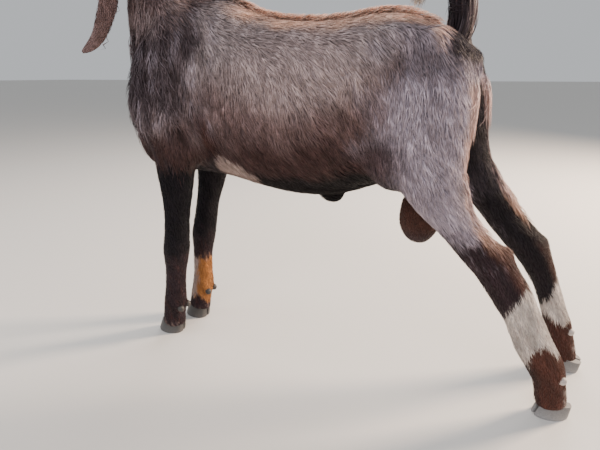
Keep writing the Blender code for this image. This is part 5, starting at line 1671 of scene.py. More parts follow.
def tuft_mesh(name, points, outs, half_widths, stations, colours, root_places):
    """All tufts as one mesh, with their colours and two UV maps."""
    count, steps = points.shape[:2]
    along = unit(np.gradient(points, axis=1))
    side = unit(np.cross(outs, along))
    ridge = np.cross(along, side)
    wide = (half_widths[:, None] * np.array([row[2] for row in stations])[None, :])[:, :-1, None]
    middle, side, ridge = points[:, :-1], side[:, :-1], ridge[:, :-1]
    rim = side * wide
    rings = np.stack([middle - rim, middle + ridge * wide * TUFT_FLATNESS, middle + rim], axis=2)
    places = np.concatenate([rings.reshape(count, -1, 3), points[:, -1:]], axis=1)
    per_tuft = places.shape[1]
    corners, across, down = tuft_pattern(steps)
    faces = len(corners) // 3
    numbers = (np.arange(count)[:, None] * per_tuft + corners[None, :]).ravel()
    mesh = bpy.data.meshes.new(name)
    mesh.vertices.add(count * per_tuft)
    mesh.vertices.foreach_set("co", places.ravel())
    mesh.loops.add(len(numbers))
    mesh.loops.foreach_set("vertex_index", numbers)
    mesh.polygons.add(count * faces)
    mesh.polygons.foreach_set("loop_start", np.arange(0, len(numbers), 3))
    mesh.update(calc_edges=True)
    mesh.shade_smooth()
    strand = np.stack([np.tile(across, count), np.tile(down, count)], axis=1)
    patch = np.repeat(root_places, len(corners), axis=0) + (strand - 0.5) * PATCH
    for title, values in (("strand", strand), ("OFBake", patch)):
        mesh.uv_layers.new(name=title).uv.foreach_set("vector", values.ravel())
    # Painted shade at each tuft's root, and a lighter tip that is partly grey hair and partly painted sheen
    tones = np.repeat(np.interp(np.arange(steps) / (steps - 1), *TUFT_ROOT_SHADE_AND_TIP_SHEEN), 3)[:per_tuft]
    shaded = np.clip(colours[:, None, :] * tones[None, :, None], 0, 1)
    give_colours(mesh, shaded.reshape(-1, 3))
    mesh.materials.append(HAIR_PAINT)
    return mesh


def unwrapped(roots, axis):
    """Each root's place on an unrolled tube round an axis: how far along it and how far round."""
    axis = np.array(axis, float)
    steps = np.diff(axis, axis=0)
    lengths = np.linalg.norm(steps, axis=1)
    begun = np.concatenate([[0], np.cumsum(lengths)[:-1]])
    shares = np.clip(((roots[:, None] - axis[:-1]) * steps).sum(2) / lengths**2, 0, 1)
    nearest = axis[:-1] + shares[..., None] * steps
    which = np.linalg.norm(roots[:, None] - nearest, axis=2).argmin(1)
    rows = np.arange(len(roots))
    out = roots - nearest[rows, which]
    ahead = steps[which] / lengths[which, None]
    deep = unit(np.cross(ahead, (0.0, 1.0, 0.0)))
    wide = np.cross(ahead, deep)
    round_it = np.arctan2((out * wide).sum(1), (out * deep).sum(1))
    both = np.stack([begun[which] + shares[rows, which] * lengths[which], round_it], axis=1)
    low, high = both.min(0), both.max(0)
    return 0.01 + 0.98 * (both - low) / np.maximum(high - low, 1e-6)


coat_pieces = []


def coat_piece(name, points, outs, half_widths, stations, colours, axis, finish="coat"):
    """One named piece of the coat, riding on the goat."""
    mesh = tuft_mesh(name, points, outs, half_widths, stations, colours, unwrapped(points[:, 0], axis))
    piece = goat_object(name, placed(mesh))
    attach(piece, "root")
    coat_pieces.append(piece)
    print(name, len(points), "tufts,", len(mesh.polygons), "triangles")
    return piece


for title, stations in (("tuft", TUFT_STATIONS), ("long strand", STRAND_STATIONS)):
    print("triangles to a", title + ":", len(tuft_pattern(len(stations))[0]) // 3)

# %% [markdown]
# ## Roots all over
# Roots are scattered over the skin by area, thicker where the guides say so. None stand on the
# lids, the nose pad, the mouth or inside the hooves, and the tail and the long fringes have
# strands of their own.

# %% Scatter the roots
TUFTS_PER_SQUARE_METRE = 57000
LONG_TUFTS_SPACED = 0.028
BARE_ROUND_EYE = 0.0195
NOSE_PAD = 0.025
MOUTH_BARE = 0.004
HOOF_TOP = 0.036


def scattered(mesh, per_area, density, draw):
    """Random roots on a mesh in proportion to area and density, and the directions out there."""
    mesh.calc_loop_triangles()
    count = len(mesh.loop_triangles)
    corners = np.empty(count * 3, int)
    mesh.loop_triangles.foreach_get("vertices", corners)
    places, normals = mesh_arrays(mesh)
    corners = corners.reshape(-1, 3)
    triangle = places[corners]
    edges = triangle[:, 1:] - triangle[:, :1]
    area = np.linalg.norm(np.cross(edges[:, 0], edges[:, 1]), axis=1) / 2
    wanted = area * per_area * density(triangle.mean(1))
    how_many = np.floor(wanted + draw.random(count)).astype(int)
    chosen = np.repeat(np.arange(count), how_many)
    one, two = draw.random((2, len(chosen), 1))
    flip = one + two > 1
    one, two = np.where(flip, 1 - one, one), np.where(flip, 1 - two, two)
    share = (1 - one - two, one, two)
    roots = sum(triangle[chosen, k] * share[k] for k in range(3))
    outs = unit(sum(normals[corners[chosen, k]] * share[k] for k in range(3)))
    return roots, outs


def furred(points):
    """1 where tufts may grow, 0 on bare parts and where longer strands take over."""
    forward, left, up = head_places(points).T
    mouth = abs(up - MOUTH_HEIGHT - MOUTH_CORNER_RISE * (forward < 0.21)) < MOUTH_BARE
    bare = (gap_to_eye(forward, left, up) < BARE_ROUND_EYE) | (gap_to_nose(forward, left, up) < NOSE_PAD)
    bare = (region_of(points) == "head") & (bare | mouth & (forward > 0.185))
    return (~bare & (points[:, 2] >= HOOF_TOP) & ~on_tail(points)).astype(float)


def density_at(points):
    rows = groomed(points)
    finer = np.clip(LONG_TUFTS_SPACED / np.maximum(rows[:, LENGTH], 0.006), 1.0, 1.8)
    return rows[:, DENSITY] * finer * furred(points)


draw = np.random.default_rng(SEED)
skin_surface = skin_tree(skin)
roots, outs = scattered(skin.data, TUFTS_PER_SQUARE_METRE, density_at, draw)
print("roots:", len(roots))

# %% Comb the short and middling coat
groom = groomed(roots)
swirl = 0.11 * waves(roots, 0.09, 31) + draw.normal(scale=0.09, size=len(roots))
lies = unit(groom[:, :3])
lies = unit(lies + np.cross(outs, lies) * swirl[:, None])
lengths = groom[:, LENGTH] * draw.uniform(0.9, 1.5, len(roots))
ruffled = 1 + 0.12 * waves(roots, 0.03, 33)
lifts = groom[:, DEPTH] * np.clip(draw.uniform(0.62, 1.0, len(roots)) * ruffled, 0.4, 1.1)
half_widths = groom[:, HALF_WIDTH] * draw.uniform(0.60, 1.05, len(roots))
curls = draw.normal(scale=0.13, size=len(roots))
down_the_lie = roots + roots[:, 2:] * (0.5, 0.0, 0.0)
locks = 0.16 * waves(down_the_lie, 0.013, 35, (1, 1, 4.5))
locks += 0.10 * waves(down_the_lie, 0.035, 36, (1, 1, 3.0))
tone = np.exp(draw.normal(scale=0.10, size=len(roots)) + locks)
colours = markings(roots) * tone[:, None]
points, directions = combed(skin_surface, roots, outs, lies, lengths, lifts, curls, TUFT_STATIONS)
print("mean tuft length", round(lengths.mean() * 1000, 1), "mm")

# %% Part the coat into pieces by where it grows
TRUNK_AXIS = [(row[0], 0.0, (row[1] + row[2]) / 2) for row in TRUNK]
NECK_AXIS = [row[:3] for row in NECK]
FACE_LINE = ((-0.04, 0, 0.0), (0.12, 0, -0.01), (0.27, 0, -0.03))
HEAD_AXIS = [tuple(HEAD @ Vector(place)) for place in FACE_LINE]
TRUNK_PARTING = 0.36
THIGH_PARTING = 0.585

region = region_of(roots)
region[region == "scrotum"] = "trunk"
x = roots[:, 0]
trunk = region == "trunk"
region[trunk & (x >= TRUNK_PARTING)] = "loin"
region[trunk & (x >= THIGH_PARTING)] = "thigh"
AXES = {
    "neck": dict.fromkeys(BOTH, NECK_AXIS),
    "trunk": dict.fromkeys(BOTH, TRUNK_AXIS),
    "loin": dict.fromkeys(BOTH, TRUNK_AXIS),
    "thigh": dict.fromkeys(BOTH, TRUNK_AXIS),
    "head": dict.fromkeys(BOTH, HEAD_AXIS),
    "ears": {side: [row[:3] for row in sided_rows(EARS[side], side)] for side in BOTH},
    "fore": {side: [row[:3] for row in fore_leg_rows(side)] for side in BOTH},
    "hind": {side: [row[:3] for row in hind_leg_rows(side)] for side in BOTH},
}
PIECE_NAMES = {"fore": "foreleg", "hind": "hindleg", "ears": "ear", "trunk": "shoulder"}
for part, axes in AXES.items():
    for word, side in SIDES.items():
        here = (region == part) & (roots[:, 1] * side >= 0)
        name = f"coat_{PIECE_NAMES.get(part, part)}_{word}"
        finish = "leg" if part in ("fore", "hind") else "coat"
        tufts = points[here], directions[here], half_widths[here], TUFT_STATIONS, colours[here]
        coat_piece(name, *tufts, axes[side], finish)
print("short coat done:", sum(len(piece.data.polygons) for piece in coat_pieces), "triangles")

# %% [markdown]
# ## Long hair
# A buck's mane, throat, brisket, breech and hocks carry longer strands. They are rooted in bands
# along the same rows as the CAD locks, but many times finer, and hang further from the skin.

# %% Long strands in bands
# From where to where, locks on the way, lie, length, and how far the tips stand off
BODY_LOCKS = {
    "crest": ((0.022, 0.012, 1.125), (0.110, 0.014, 0.965), 7, (0.60, 0.10, -0.80), 0.078, 0.0080),
    "nape": ((0.000, 0.038, 1.100), (0.070, 0.050, 0.965), 4, (0.45, 0.22, -0.83), 0.076, 0.0060),
    "throat": ((-0.110, 0.014, 0.965), (-0.105, 0.016, 0.785), 6, (-0.05, 0.05, -1.0), 0.074, 0.0060),
    "brisket": ((-0.100, 0.016, 0.690), (-0.090, 0.018, 0.590), 3, (0.0, 0.10, -1.0), 0.070, 0.0060),
    "breech": ((0.785, 0.078, 0.720), (0.765, 0.090, 0.645), 4, (0.05, 0.0, -1.0), 0.054, 0.0070),
}
LEG_LOCKS = {
    LEFT: ((0.752, 0.100, 0.525), (0.790, 0.115, 0.440), 4, (0.50, 0.0, -0.86), 0.048, 0.0065),
    RIGHT: ((0.810, 0.100, 0.520), (0.875, 0.112, 0.420), 4, (0.50, 0.0, -0.86), 0.048, 0.0065),
}
STRANDS_PER_LOCK = 60
BAND_HALF_WIDTH = 0.018
STRAND_HALF_WIDTH = 0.0014
BACK_FRINGE = ((0.18, 0.004, 0.92), (0.64, 0.004, 0.86), 24, (0.95, 0.10, -0.10), 0.036, 0.0125)


def band_strands(rows, sides, draw):
    """Roots, lies, lengths and lifts of strands in bands along rows of locks."""
    made = []
    for start, end, locks, lie, length, lift in rows:
        for side in sides:
            count = locks * STRANDS_PER_LOCK
            share = draw.uniform(-0.08, 1.08, (count, 1))
            one, two = np.array(sided(start, side)), np.array(sided(end, side))
            spots = one + (two - one) * share + draw.normal(scale=BAND_HALF_WIDTH / 2, size=(count, 3))
            lies = np.array(sided(lie, side)) + draw.normal(scale=0.16, size=(count, 3))
            lengths = length * draw.uniform(0.62, 1.08, count)
            lifts = lift * draw.uniform(0.5, 1.6, count)
            made.append((spots, unit(lies), lengths, lifts))
    return [np.concatenate(column) for column in zip(*made)]


def strand_widths(count):
    return STRAND_HALF_WIDTH * draw.uniform(0.7, 1.2, count)


def long_piece(name, rows, sides, axis):
    spots, lies, lengths, lifts = band_strands(rows, sides, draw)
    starts, ups = nearest_skin(skin_surface, spots)
    curls = draw.normal(scale=0.35, size=len(starts))
    tone = np.exp(draw.normal(scale=0.22, size=len(starts)))
    colours = markings(starts) * tone[:, None]
    paths, outs = combed(skin_surface, starts, ups, lies, lengths, lifts, curls, STRAND_STATIONS)
    return coat_piece(name, paths, outs, strand_widths(len(starts)), STRAND_STATIONS, colours, axis)


# Loose hair over the sides of the chest and the neck's base
CHEST_HAIR = (
    ((-0.048, 0.070, 0.800), (-0.030, 0.088, 0.600), 10, (0.05, 0.05, -1.0), 0.055, 0.0110),
    ((-0.005, 0.088, 0.860), (0.020, 0.105, 0.620), 11, (0.18, 0.02, -1.0), 0.055, 0.0085),
    ((0.045, 0.100, 0.840), (0.075, 0.120, 0.640), 10, (0.25, 0.00, -1.0), 0.050, 0.0080),
)
long_piece("mane", [BODY_LOCKS["crest"], BODY_LOCKS["nape"]], BOTH, NECK_AXIS)
long_piece("throat_hair", [BODY_LOCKS["throat"], BODY_LOCKS["brisket"]], BOTH, NECK_AXIS)
long_piece("chest_hair", CHEST_HAIR, BOTH, NECK_AXIS)
long_piece("back_fringe", [BACK_FRINGE], BOTH, TRUNK_AXIS)
for word, side in SIDES.items():
    rows = [BODY_LOCKS["breech"], LEG_LOCKS[side]]
    long_piece(f"breech_hair_{word}", rows, (side,), AXES["hind"][side])
print("long bands done")

# %% Tail hair
# How far the hair's tips stand from the tail's middle, by row of the tail's table
TAIL_REACH = ((1.40, 2.45, 3.55, 4.65, 5.75, 6.80), (0.034, 0.031, 0.026, 0.022, 0.021, 0.019))
TAIL_LOCK_ROWS = 1.9
TAIL_BARE_HALF_ANGLE = math.radians(38)
TAIL_STRANDS = 3600
TAIL_STEPS = 8
TAIL_FIRST, TAIL_LAST = 0.5, 7.1
ROOT_DEPTH = 0.004


def tail_strands(draw):
    """Strands that follow the tail's own curve and stand off its core, all but underneath."""
    path = np.array(smooth_rows(TAIL, TAIL_STEPS))
    first = draw.uniform(TAIL_FIRST, TAIL_LAST, TAIL_STRANDS)
    swing = math.pi - TAIL_BARE_HALF_ANGLE
    angle = draw.uniform(-swing, swing, TAIL_STRANDS)
    reach = np.interp(first, *TAIL_REACH)
    tip = reach * draw.uniform(0.55, 1.08, TAIL_STRANDS)
    rows_long = TAIL_LOCK_ROWS * draw.uniform(0.6, 1.0, TAIL_STRANDS)
    paths, outs = [], []
    for share, rise, _ in STRAND_STATIONS:
        at = (first + rows_long * share) * TAIL_STEPS
        low = np.clip(at.astype(int), 0, len(path) - 2)
        row = path[low] + (path[low + 1] - path[low]) * (at - low)[:, None]
        ahead = unit(path[low + 1, :3] - path[low, :3])
        deep = unit(np.cross(ahead, (0.0, 1.0, 0.0)))
        wide = np.cross(ahead, deep)
        out = deep * np.cos(angle)[:, None] + wide * np.sin(angle)[:, None]
        core = np.maximum(np.minimum(row[:, 3], row[:, 4]), ROOT_DEPTH)
        height = core - ROOT_DEPTH if rise < 0 else core + (tip - core) * min(rise, 1) * 0.85
        paths.append(row[:, :3] + out * height[:, None])
        outs.append(out)
    return np.stack(paths, axis=1), np.stack(outs, axis=1)


paths, outs_of_tail = tail_strands(draw)
tail_colours = markings(paths[:, 1]) * np.exp(draw.normal(scale=0.2, size=TAIL_STRANDS))[:, None]
tail_widths = strand_widths(TAIL_STRANDS)
WHITE_FROM = 0.22
white = tail_colours.mean(1) > WHITE_FROM
TAIL_AXIS = [row[:3] for row in TAIL]
for name, some, finish in (("tail_hair", ~white, "coat"), ("tail_tip_hair", white, "white")):
    strands = paths[some], outs_of_tail[some], tail_widths[some], STRAND_STATIONS, tail_colours[some]
    coat_piece(name, *strands, TAIL_AXIS, finish)
print("tail strands:", TAIL_STRANDS, "of them white:", int(white.sum()))

# %% Beard and forelock
# Along the head, locks, half width of the row, length
BEARD = [
    (0.260, 3, 0.009, 0.048),
    (0.249, 3, 0.012, 0.070),
    (0.238, 4, 0.014, 0.086),
    (0.226, 3, 0.012, 0.090),
    (0.214, 3, 0.009, 0.074),
]
BEARD_LOWEST = 0.915
FORELOCK = [
    (0.028, 1, 0.000, 0.062),
    (0.048, 1, 0.000, 0.060),
    (0.076, 3, 0.010, 0.052),
    (0.088, 4, 0.017, 0.044),
]
STRANDS_IN_HEAD_LOCK = 34


def dark_strands(count):
    return np.array(PAINTS["neck_dark"]) * np.exp(draw.normal(scale=0.3, size=(count, 1)))


def beard_strands(draw):
    up = HEAD_TURN @ Vector((0, 0, 1))
    paths, outs = [], []
    for along, count, wide, length in BEARD:
        for _ in range(count * STRANDS_IN_HEAD_LOCK):
            across = draw.uniform(-wide, wide)
            below = HEAD @ Vector((along + draw.uniform(-0.006, 0.006), across, -0.15))
            root = np.array(skin_surface.ray_cast(below, up)[0])
            fall = unit(np.array((draw.uniform(-0.03, 0.12), draw.uniform(-0.07, 0.07) - across * 4, -1)))
            long = min(length * draw.uniform(0.55, 1.08), (root[2] - BEARD_LOWEST) / -fall[2])
            bend = np.array((draw.uniform(-0.05, 0.25), draw.uniform(-0.12, 0.12), 0)) * long
            line = [root + fall * long * share + bend * share**2 for share, _, _ in STRAND_STATIONS]
            line[0] = root - fall * ROOT_DEPTH
            paths.append(line)
            outs.append([(-0.6 if along > 0.238 else 0.6, -across / wide, 0.05)] * len(line))
    return np.array(paths), unit(np.array(outs))


paths, outs_of_beard = beard_strands(draw)
dark = dark_strands(len(paths))
BEARD_AXIS = [tuple(HEAD @ Vector((0.237, 0, up))) for up in (-0.05, -0.16)]
coat_piece("beard", paths, outs_of_beard, strand_widths(len(paths)), STRAND_STATIONS, dark, BEARD_AXIS)

spots, lies_of_lock, long = [], [], []
for along, count, wide, length in FORELOCK:
    for _ in range(count * STRANDS_IN_HEAD_LOCK):
        across = draw.uniform(-wide - 0.004, wide + 0.004)
        spots.append(HEAD @ Vector((along + draw.uniform(-0.008, 0.008), across, 0.070)))
        lies_of_lock.append(HEAD_TURN @ Vector((1, across * 14 + draw.uniform(-0.2, 0.2), -0.3)))
        long.append(length * draw.uniform(0.6, 1.05))
starts, ups = nearest_skin(skin_surface, np.array(spots))
count = len(starts)
lifts = 0.0060 * draw.uniform(0.5, 1.3, count)
curls = draw.normal(scale=0.3, size=count)
lies = unit(np.array(lies_of_lock))
paths, outs = combed(skin_surface, starts, ups, lies, np.array(long), lifts, curls, STRAND_STATIONS)
dark = dark_strands(count)
coat_piece("forelock", paths, outs, strand_widths(count), STRAND_STATIONS, dark, HEAD_AXIS)
print("coat in all:", sum(len(piece.data.polygons) for piece in coat_pieces), "triangles")


# %% [markdown]
# ## Eyes
# A goat's eye is amber with a level bar of a pupil, and sits half under flat lids. The globe is
# made as rings about its own line of sight, so iris and pupil can be painted by angle, and the
# cornea bulges a little. A clear coat over all makes it wet.

# %% Make the eyes
EYE_RINGS, EYE_SEGMENTS = 96, 96
IRIS_ANGLE = math.radians(47)
CORNEA_BULGE = 0.0009
PUPIL_HALF_SIZE = (0.0066, 0.0021)
EYE_WHITE_FROM = 1.2
EYE_PAINTS = {
    "amber": (0.42, 0.21, 0.045),
    "brown": (0.12, 0.045, 0.012),
    "white": (0.34, 0.26, 0.20),
    "black": (0.003, 0.003, 0.004),
}


def over(shade, name, share):
    return shade + (np.array(EYE_PAINTS[name]) - shade) * share
def eye_colour(angle, turn, across, up):
    """The globe's colour: amber iris with rays, dark rim, level bar pupil, brownish white."""
    rays = 0.5 + 0.5 * math.sin(23 * turn + 2 * math.sin(5 * turn)) * math.sin(41 * turn + 1.3)
    iris = np.array(EYE_PAINTS["amber"]) * (0.65 + 0.5 * rays)
    iris = over(iris, "brown", ramp(angle, IRIS_ANGLE * 0.78, IRIS_ANGLE))
    shade = over(iris, "white", ramp(angle, IRIS_ANGLE * 1.0, IRIS_ANGLE * 1.12))
    bar = (abs(across) / PUPIL_HALF_SIZE[0]) ** 4 + (abs(up) / PUPIL_HALF_SIZE[1]) ** 4
    return over(shade, "black", ramp(bar, 1.5, 0.75))


def add_eye(word, side):
    """side as in the goat's own frame. The head's left is +y in its own directions."""
    turn = facing(sided(EYE_AIM, -side)).to_4x4()
    centre = sided(EYE_PLACE, -side)
    places, colours = [], []
    for ring in range(EYE_RINGS + 1):
        angle = math.pi * (ring / EYE_RINGS) ** 1.35
        bulge = CORNEA_BULGE * math.exp(-((angle / (IRIS_ANGLE * 0.8)) ** 4))
        for k in range(EYE_SEGMENTS if 0 < ring < EYE_RINGS else 1):
            round_it = math.tau * k / EYE_SEGMENTS
            wide = math.sin(angle)
            way = Vector((wide * math.cos(round_it), wide * math.sin(round_it), math.cos(angle)))
            places.append(HEAD @ (centre + turn.to_3x3() @ (way * (EYE_RADIUS + bulge))))
            flat = way * EYE_RADIUS
            seen = angle < EYE_WHITE_FROM
            colours.append(eye_colour(angle, round_it, flat.x, flat.y) if seen else EYE_PAINTS["white"])
    faces = []
    last = len(places) - 1

    def start(ring):
        return 1 + (ring - 1) * EYE_SEGMENTS

    for k in range(EYE_SEGMENTS):
        j = (k + 1) % EYE_SEGMENTS
        faces.append((0, start(1) + k, start(1) + j))
        faces.append((last, start(EYE_RINGS - 1) + j, start(EYE_RINGS - 1) + k))
        for ring in range(1, EYE_RINGS - 1):
            faces.append((start(ring) + k, start(ring + 1) + k, start(ring + 1) + j, start(ring) + j))
    mesh = bpy.data.meshes.new(f"eyeball_{word}")
    mesh.from_pydata(places, [], faces)
    give_colours(mesh, np.array(colours), "eye_colour")
    mesh.materials.append(EYE_PAINT)
    mesh.shade_smooth()
    piece = goat_object(f"eyeball_{word}", placed(mesh))
    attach(piece, "root")
    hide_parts(f"eye_{word}")


EYE_FINISH = {"Roughness": 0.12, "Coat Weight": 1.0, "Coat Roughness": 0.02}
EYE_PAINT = grained("wet_eye", "eye_colour", [("place", 900, 2, EVEN, 0.8, 1.15)], EYE_FINISH)
for word, side in SIDES.items():
    add_eye(word, side)
print("eyes: pupil", PUPIL_HALF_SIZE, "m half size")

# %% [markdown]
# ## Eyelashes
# Short stiff lashes stand along the upper lid. They follow an edge, so a Geometry Nodes tree
# spaces them along a line on the lid: a thin cone, bent by moving its points, set out on the
# line and turned outwards.

# %% Lashes by Geometry Nodes
LASH_SIZES = {"Spacing": 0.0011, "Length": 0.0085, "Half width": 0.00026, "Bend": 0.32}
LASH_SEED = 5
LASH_SPAN = (math.radians(8), math.radians(172))
LASH_LINE_POINTS = 24
LASH_BLACK = (0.012, 0.009, 0.009, 1)
LASH_PAINT = grained("eyelash", LASH_BLACK, [("place", 600, 2, EVEN, 0.7, 1.5)], {"Roughness": 0.45})
def lash_tree():
    """Cones along the edges of the given line, turned to its "aim", bent towards its "curl"."""
    tree = bpy.data.node_groups.new("lashes_along_a_lid", "GeometryNodeTree")

    tree.interface.new_socket("Geometry", in_out="INPUT", socket_type="NodeSocketGeometry")
    for title in LASH_SIZES:
        tree.interface.new_socket(title, in_out="INPUT", socket_type="NodeSocketFloat")
    tree.interface.new_socket("Seed", in_out="INPUT", socket_type="NodeSocketInt")
    tree.interface.new_socket("Geometry", in_out="OUTPUT", socket_type="NodeSocketGeometry")
    given = tree.nodes.new("NodeGroupInput").outputs

    def add(kind, inputs, **settings):
        return add_node(tree, kind, inputs, **settings)

    def worked(one, two, operation):
        return add("ShaderNodeMath", {0: one, 1: two}, operation=operation)["Value"]

    line = add("GeometryNodeMeshToCurve", {"Mesh": given["Geometry"]})["Curve"]
    spacing = {"Curve": line, "Length": given["Spacing"]}
    spots = add("GeometryNodeResampleCurve", spacing, mode="LENGTH")["Curve"]

    sizes = {"Radius Bottom": given["Half width"], "Depth": given["Length"]}
    cone = add("GeometryNodeMeshCone", {"Vertices": 6, "Side Segments": 6, **sizes})["Mesh"]
    place = add("GeometryNodeInputPosition", {})["Position"]
    height = add("ShaderNodeSeparateXYZ", {"Vector": place})["Z"]
    share = worked(height, given["Length"], "DIVIDE")
    pushed = worked(worked(share, height, "MULTIPLY"), given["Bend"], "MULTIPLY")
    offset = add("ShaderNodeCombineXYZ", {"Y": pushed})["Vector"]
    bent = add("GeometryNodeSetPosition", {"Geometry": cone, "Offset": offset})["Geometry"]

    turned = {}
    for axis, pivot, name in (("Z", "AUTO", "aim"), ("Y", "Z", "curl")):
        way = add("GeometryNodeInputNamedAttribute", {"Name": name}, data_type="FLOAT_VECTOR")["Attribute"]
        towards = {"Vector": way, **turned}
        aligned = add("FunctionNodeAlignRotationToVector", towards, axis=axis, pivot_axis=pivot)
        turned = {"Rotation": aligned["Rotation"]}
    least_and_most = {2: 0.65, 3: 1.1}
    size = add("FunctionNodeRandomValue", {"Seed": given["Seed"], **least_and_most}, data_type="FLOAT")[1]
    standing = {"Points": spots, "Instance": bent, "Scale": size, **turned}
    stood = add("GeometryNodeInstanceOnPoints", standing)["Instances"]
    real = add("GeometryNodeRealizeInstances", {"Geometry": stood})["Geometry"]
    black = add("GeometryNodeSetMaterial", {"Geometry": real, "Material": LASH_PAINT})["Geometry"]
    add("NodeGroupOutput", {"Geometry": black})
    return tree
def add_lashes(word, side, tree):
    turn = facing(sided(EYE_AIM, -side))
    whole = HEAD_TURN @ turn
    places, aims = [], []
    for angle in np.linspace(*LASH_SPAN, LASH_LINE_POINTS):
        rim = almond(angle) * 1.10
        start = HEAD @ (sided(EYE_PLACE, -side) + turn @ (rim + Vector((0, 0, EYE_RADIUS))))
        places.append(skin_surface.find_nearest(start)[0])
        aims.append(whole @ Vector((0.5 * math.cos(angle), 0.10 + 0.15 * math.sin(angle), 1)))
    mesh = bpy.data.meshes.new(f"eyelashes_{word}")
    mesh.from_pydata(places, [(i, i + 1) for i in range(len(places) - 1)], [])
    curl = whole @ Vector((0, 1, 0))
    for name, rows in (("aim", aims), ("curl", [curl] * len(aims))):
        layer = mesh.attributes.new(name, "FLOAT_VECTOR", "POINT")
        layer.data.foreach_set("vector", np.array([tuple(row) for row in rows], np.float32).ravel())
    piece = goat_object(f"eyelashes_{word}", mesh)
    modifier = piece.modifiers.new("lashes", "NODES")
    modifier.node_group = tree
    for item in tree.interface.items_tree:
        if item.name in LASH_SIZES:
            modifier[item.identifier] = LASH_SIZES[item.name]
        elif item.name == "Seed":
            modifier[item.identifier] = LASH_SEED
    applied(piece)
    placed(piece.data)
    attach(piece, "root")
    print(piece.name, len(piece.data.polygons), "faces")


LASHES = lash_tree()
for word, side in SIDES.items():
    add_lashes(word, side, LASHES)

# %% [markdown]
# ## Horns
# The horns rise from the poll, sweep back and out, and twist half a turn. They are flattened,
# with a keel in front, and grow in rings that are closest together at the base.

# %% Make the horns
HORN_KEEL = 1.18
HORN = [
    (0.034, 0.027, 0.030, 0.0285, 0.0185),
    (0.022, 0.034, 0.080, 0.0265, 0.0165),
    (-0.012, 0.050, 0.126, 0.0235, 0.0145),
    (-0.058, 0.078, 0.152, 0.0195, 0.0122),
    (-0.100, 0.112, 0.160, 0.0150, 0.0098),
    (-0.133, 0.146, 0.166, 0.0105, 0.0072),
    (-0.155, 0.176, 0.180, 0.0040, 0.0034),
]
HORN_TWIST = math.radians(200)
HORN_RINGS, HORN_SEGMENTS = 20, 48
HORN_GROWTHS = 17
HORN_RIDGE = 0.035
HORN_FIBRE = ("place", 260, 4, (0.35, 1, 0.35), 0.7, 1.3)
HORN_PAINT = grained("grown_horn", "coat_colour", [HORN_FIBRE], {"Roughness": 0.42}, bump=(0.0006, 0.5))
def add_horn(word, side):
    rows = smooth_rows(HORN, HORN_RINGS)
    points = [Vector((row[0], -side * row[1], row[2])) for row in rows]
    rings, colours = [], []
    for i, row in enumerate(rows):
        along = heading(points, i)
        sideways = along.cross(Vector((1, 0, 0))).normalized()
        forward = sideways.cross(along).normalized()
        share = i / (len(rows) - 1)
        turn = Matrix.Rotation(side * HORN_TWIST * share, 3, along)
        sideways, forward = turn @ sideways, turn @ forward
        phase = HORN_GROWTHS * (1 - (1 - share) ** 1.3) % 1
        step = math.sin(math.pi * phase) ** 0.6 - 0.6
        ridge = HORN_RIDGE * (1 - share) ** 0.5 * step
        ring = []
        for k in range(HORN_SEGMENTS):
            angle = math.tau * k / HORN_SEGMENTS
            keel = 1 + (HORN_KEEL - 1) * max(math.cos(angle), 0) ** 6
            grow = 1 + ridge * (0.7 + 0.5 * math.cos(angle))
            across = sideways * (row[4] * grow * math.sin(angle))
            ring.append(HEAD @ (points[i] + forward * (row[3] * keel * grow * math.cos(angle)) + across))
            tone = (0.055 + 0.10 * share + 0.02 * step) * (1 - 0.25 * (phase < 0.12))
            colours.append((tone * 1.12, tone * 0.95, tone * 0.80))
        rings.append(ring)
    bm = bmesh.new()
    add_rings(bm, rings)
    mesh = hard_mesh(bm, f"grown_horn_{word}", colours, HORN_PAINT)
    piece = goat_object(f"grown_horn_{word}", placed(mesh))
    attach(piece, "root")
    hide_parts(f"horn_{word}")


for word, side in SIDES.items():
    add_horn(word, side)
print("horn rings:", HORN_GROWTHS)

# %% [markdown]
# ## Hooves
# Each hoof is two claws with flat soles, pointed toes and walls that lean in. The walls carry
# level growth rings and are paler and scuffed towards the ground.

# %% Make the hooves
CLAW_LENGTH = 0.072
CLAW_WIDTH = 0.028
CLAW_HEIGHT = 0.041
CLAW_CLEFT = 0.003
CLAW_SOLE_EDGE = 0.004
CLAW_SOLE_SIZE = 0.97
CLAW_TOP_SIZE = 0.84
CLAW_TOP_BACK = 0.009
CLAW_HEEL_DROP = 0.30
CLAW_OUTLINE = [
    (-0.50, 0.10), (-0.46, 0.42), (-0.30, 0.78), (-0.05, 1.0), (0.22, 0.98), (0.42, 0.75),
    (0.50, 0.40), (0.50, 0.05), (0.20, 0.0), (-0.20, 0.0),
]
CLAW_AHEAD = {"fore": 0.010, "hind": 0.0}
TOES_OUT = {"fore_left": 6, "fore_right": 6, "hind_left": 22, "hind_right": 8}
CLAW_POINTS = 6
CLAW_WALL_LEVELS = 16
CLAW_GROWTHS = 7
HOOF_SHADES = {"fore": 0.35, "hind": 1.0}
HOOF_SCUFF = ("place", 320, 4, (1, 1, 2.5), 0.75, 1.25)
HOOF_PAINT = grained("worn_hoof", "coat_colour", [HOOF_SCUFF], {"Roughness": 0.55}, bump=(0.0005, 0.5))


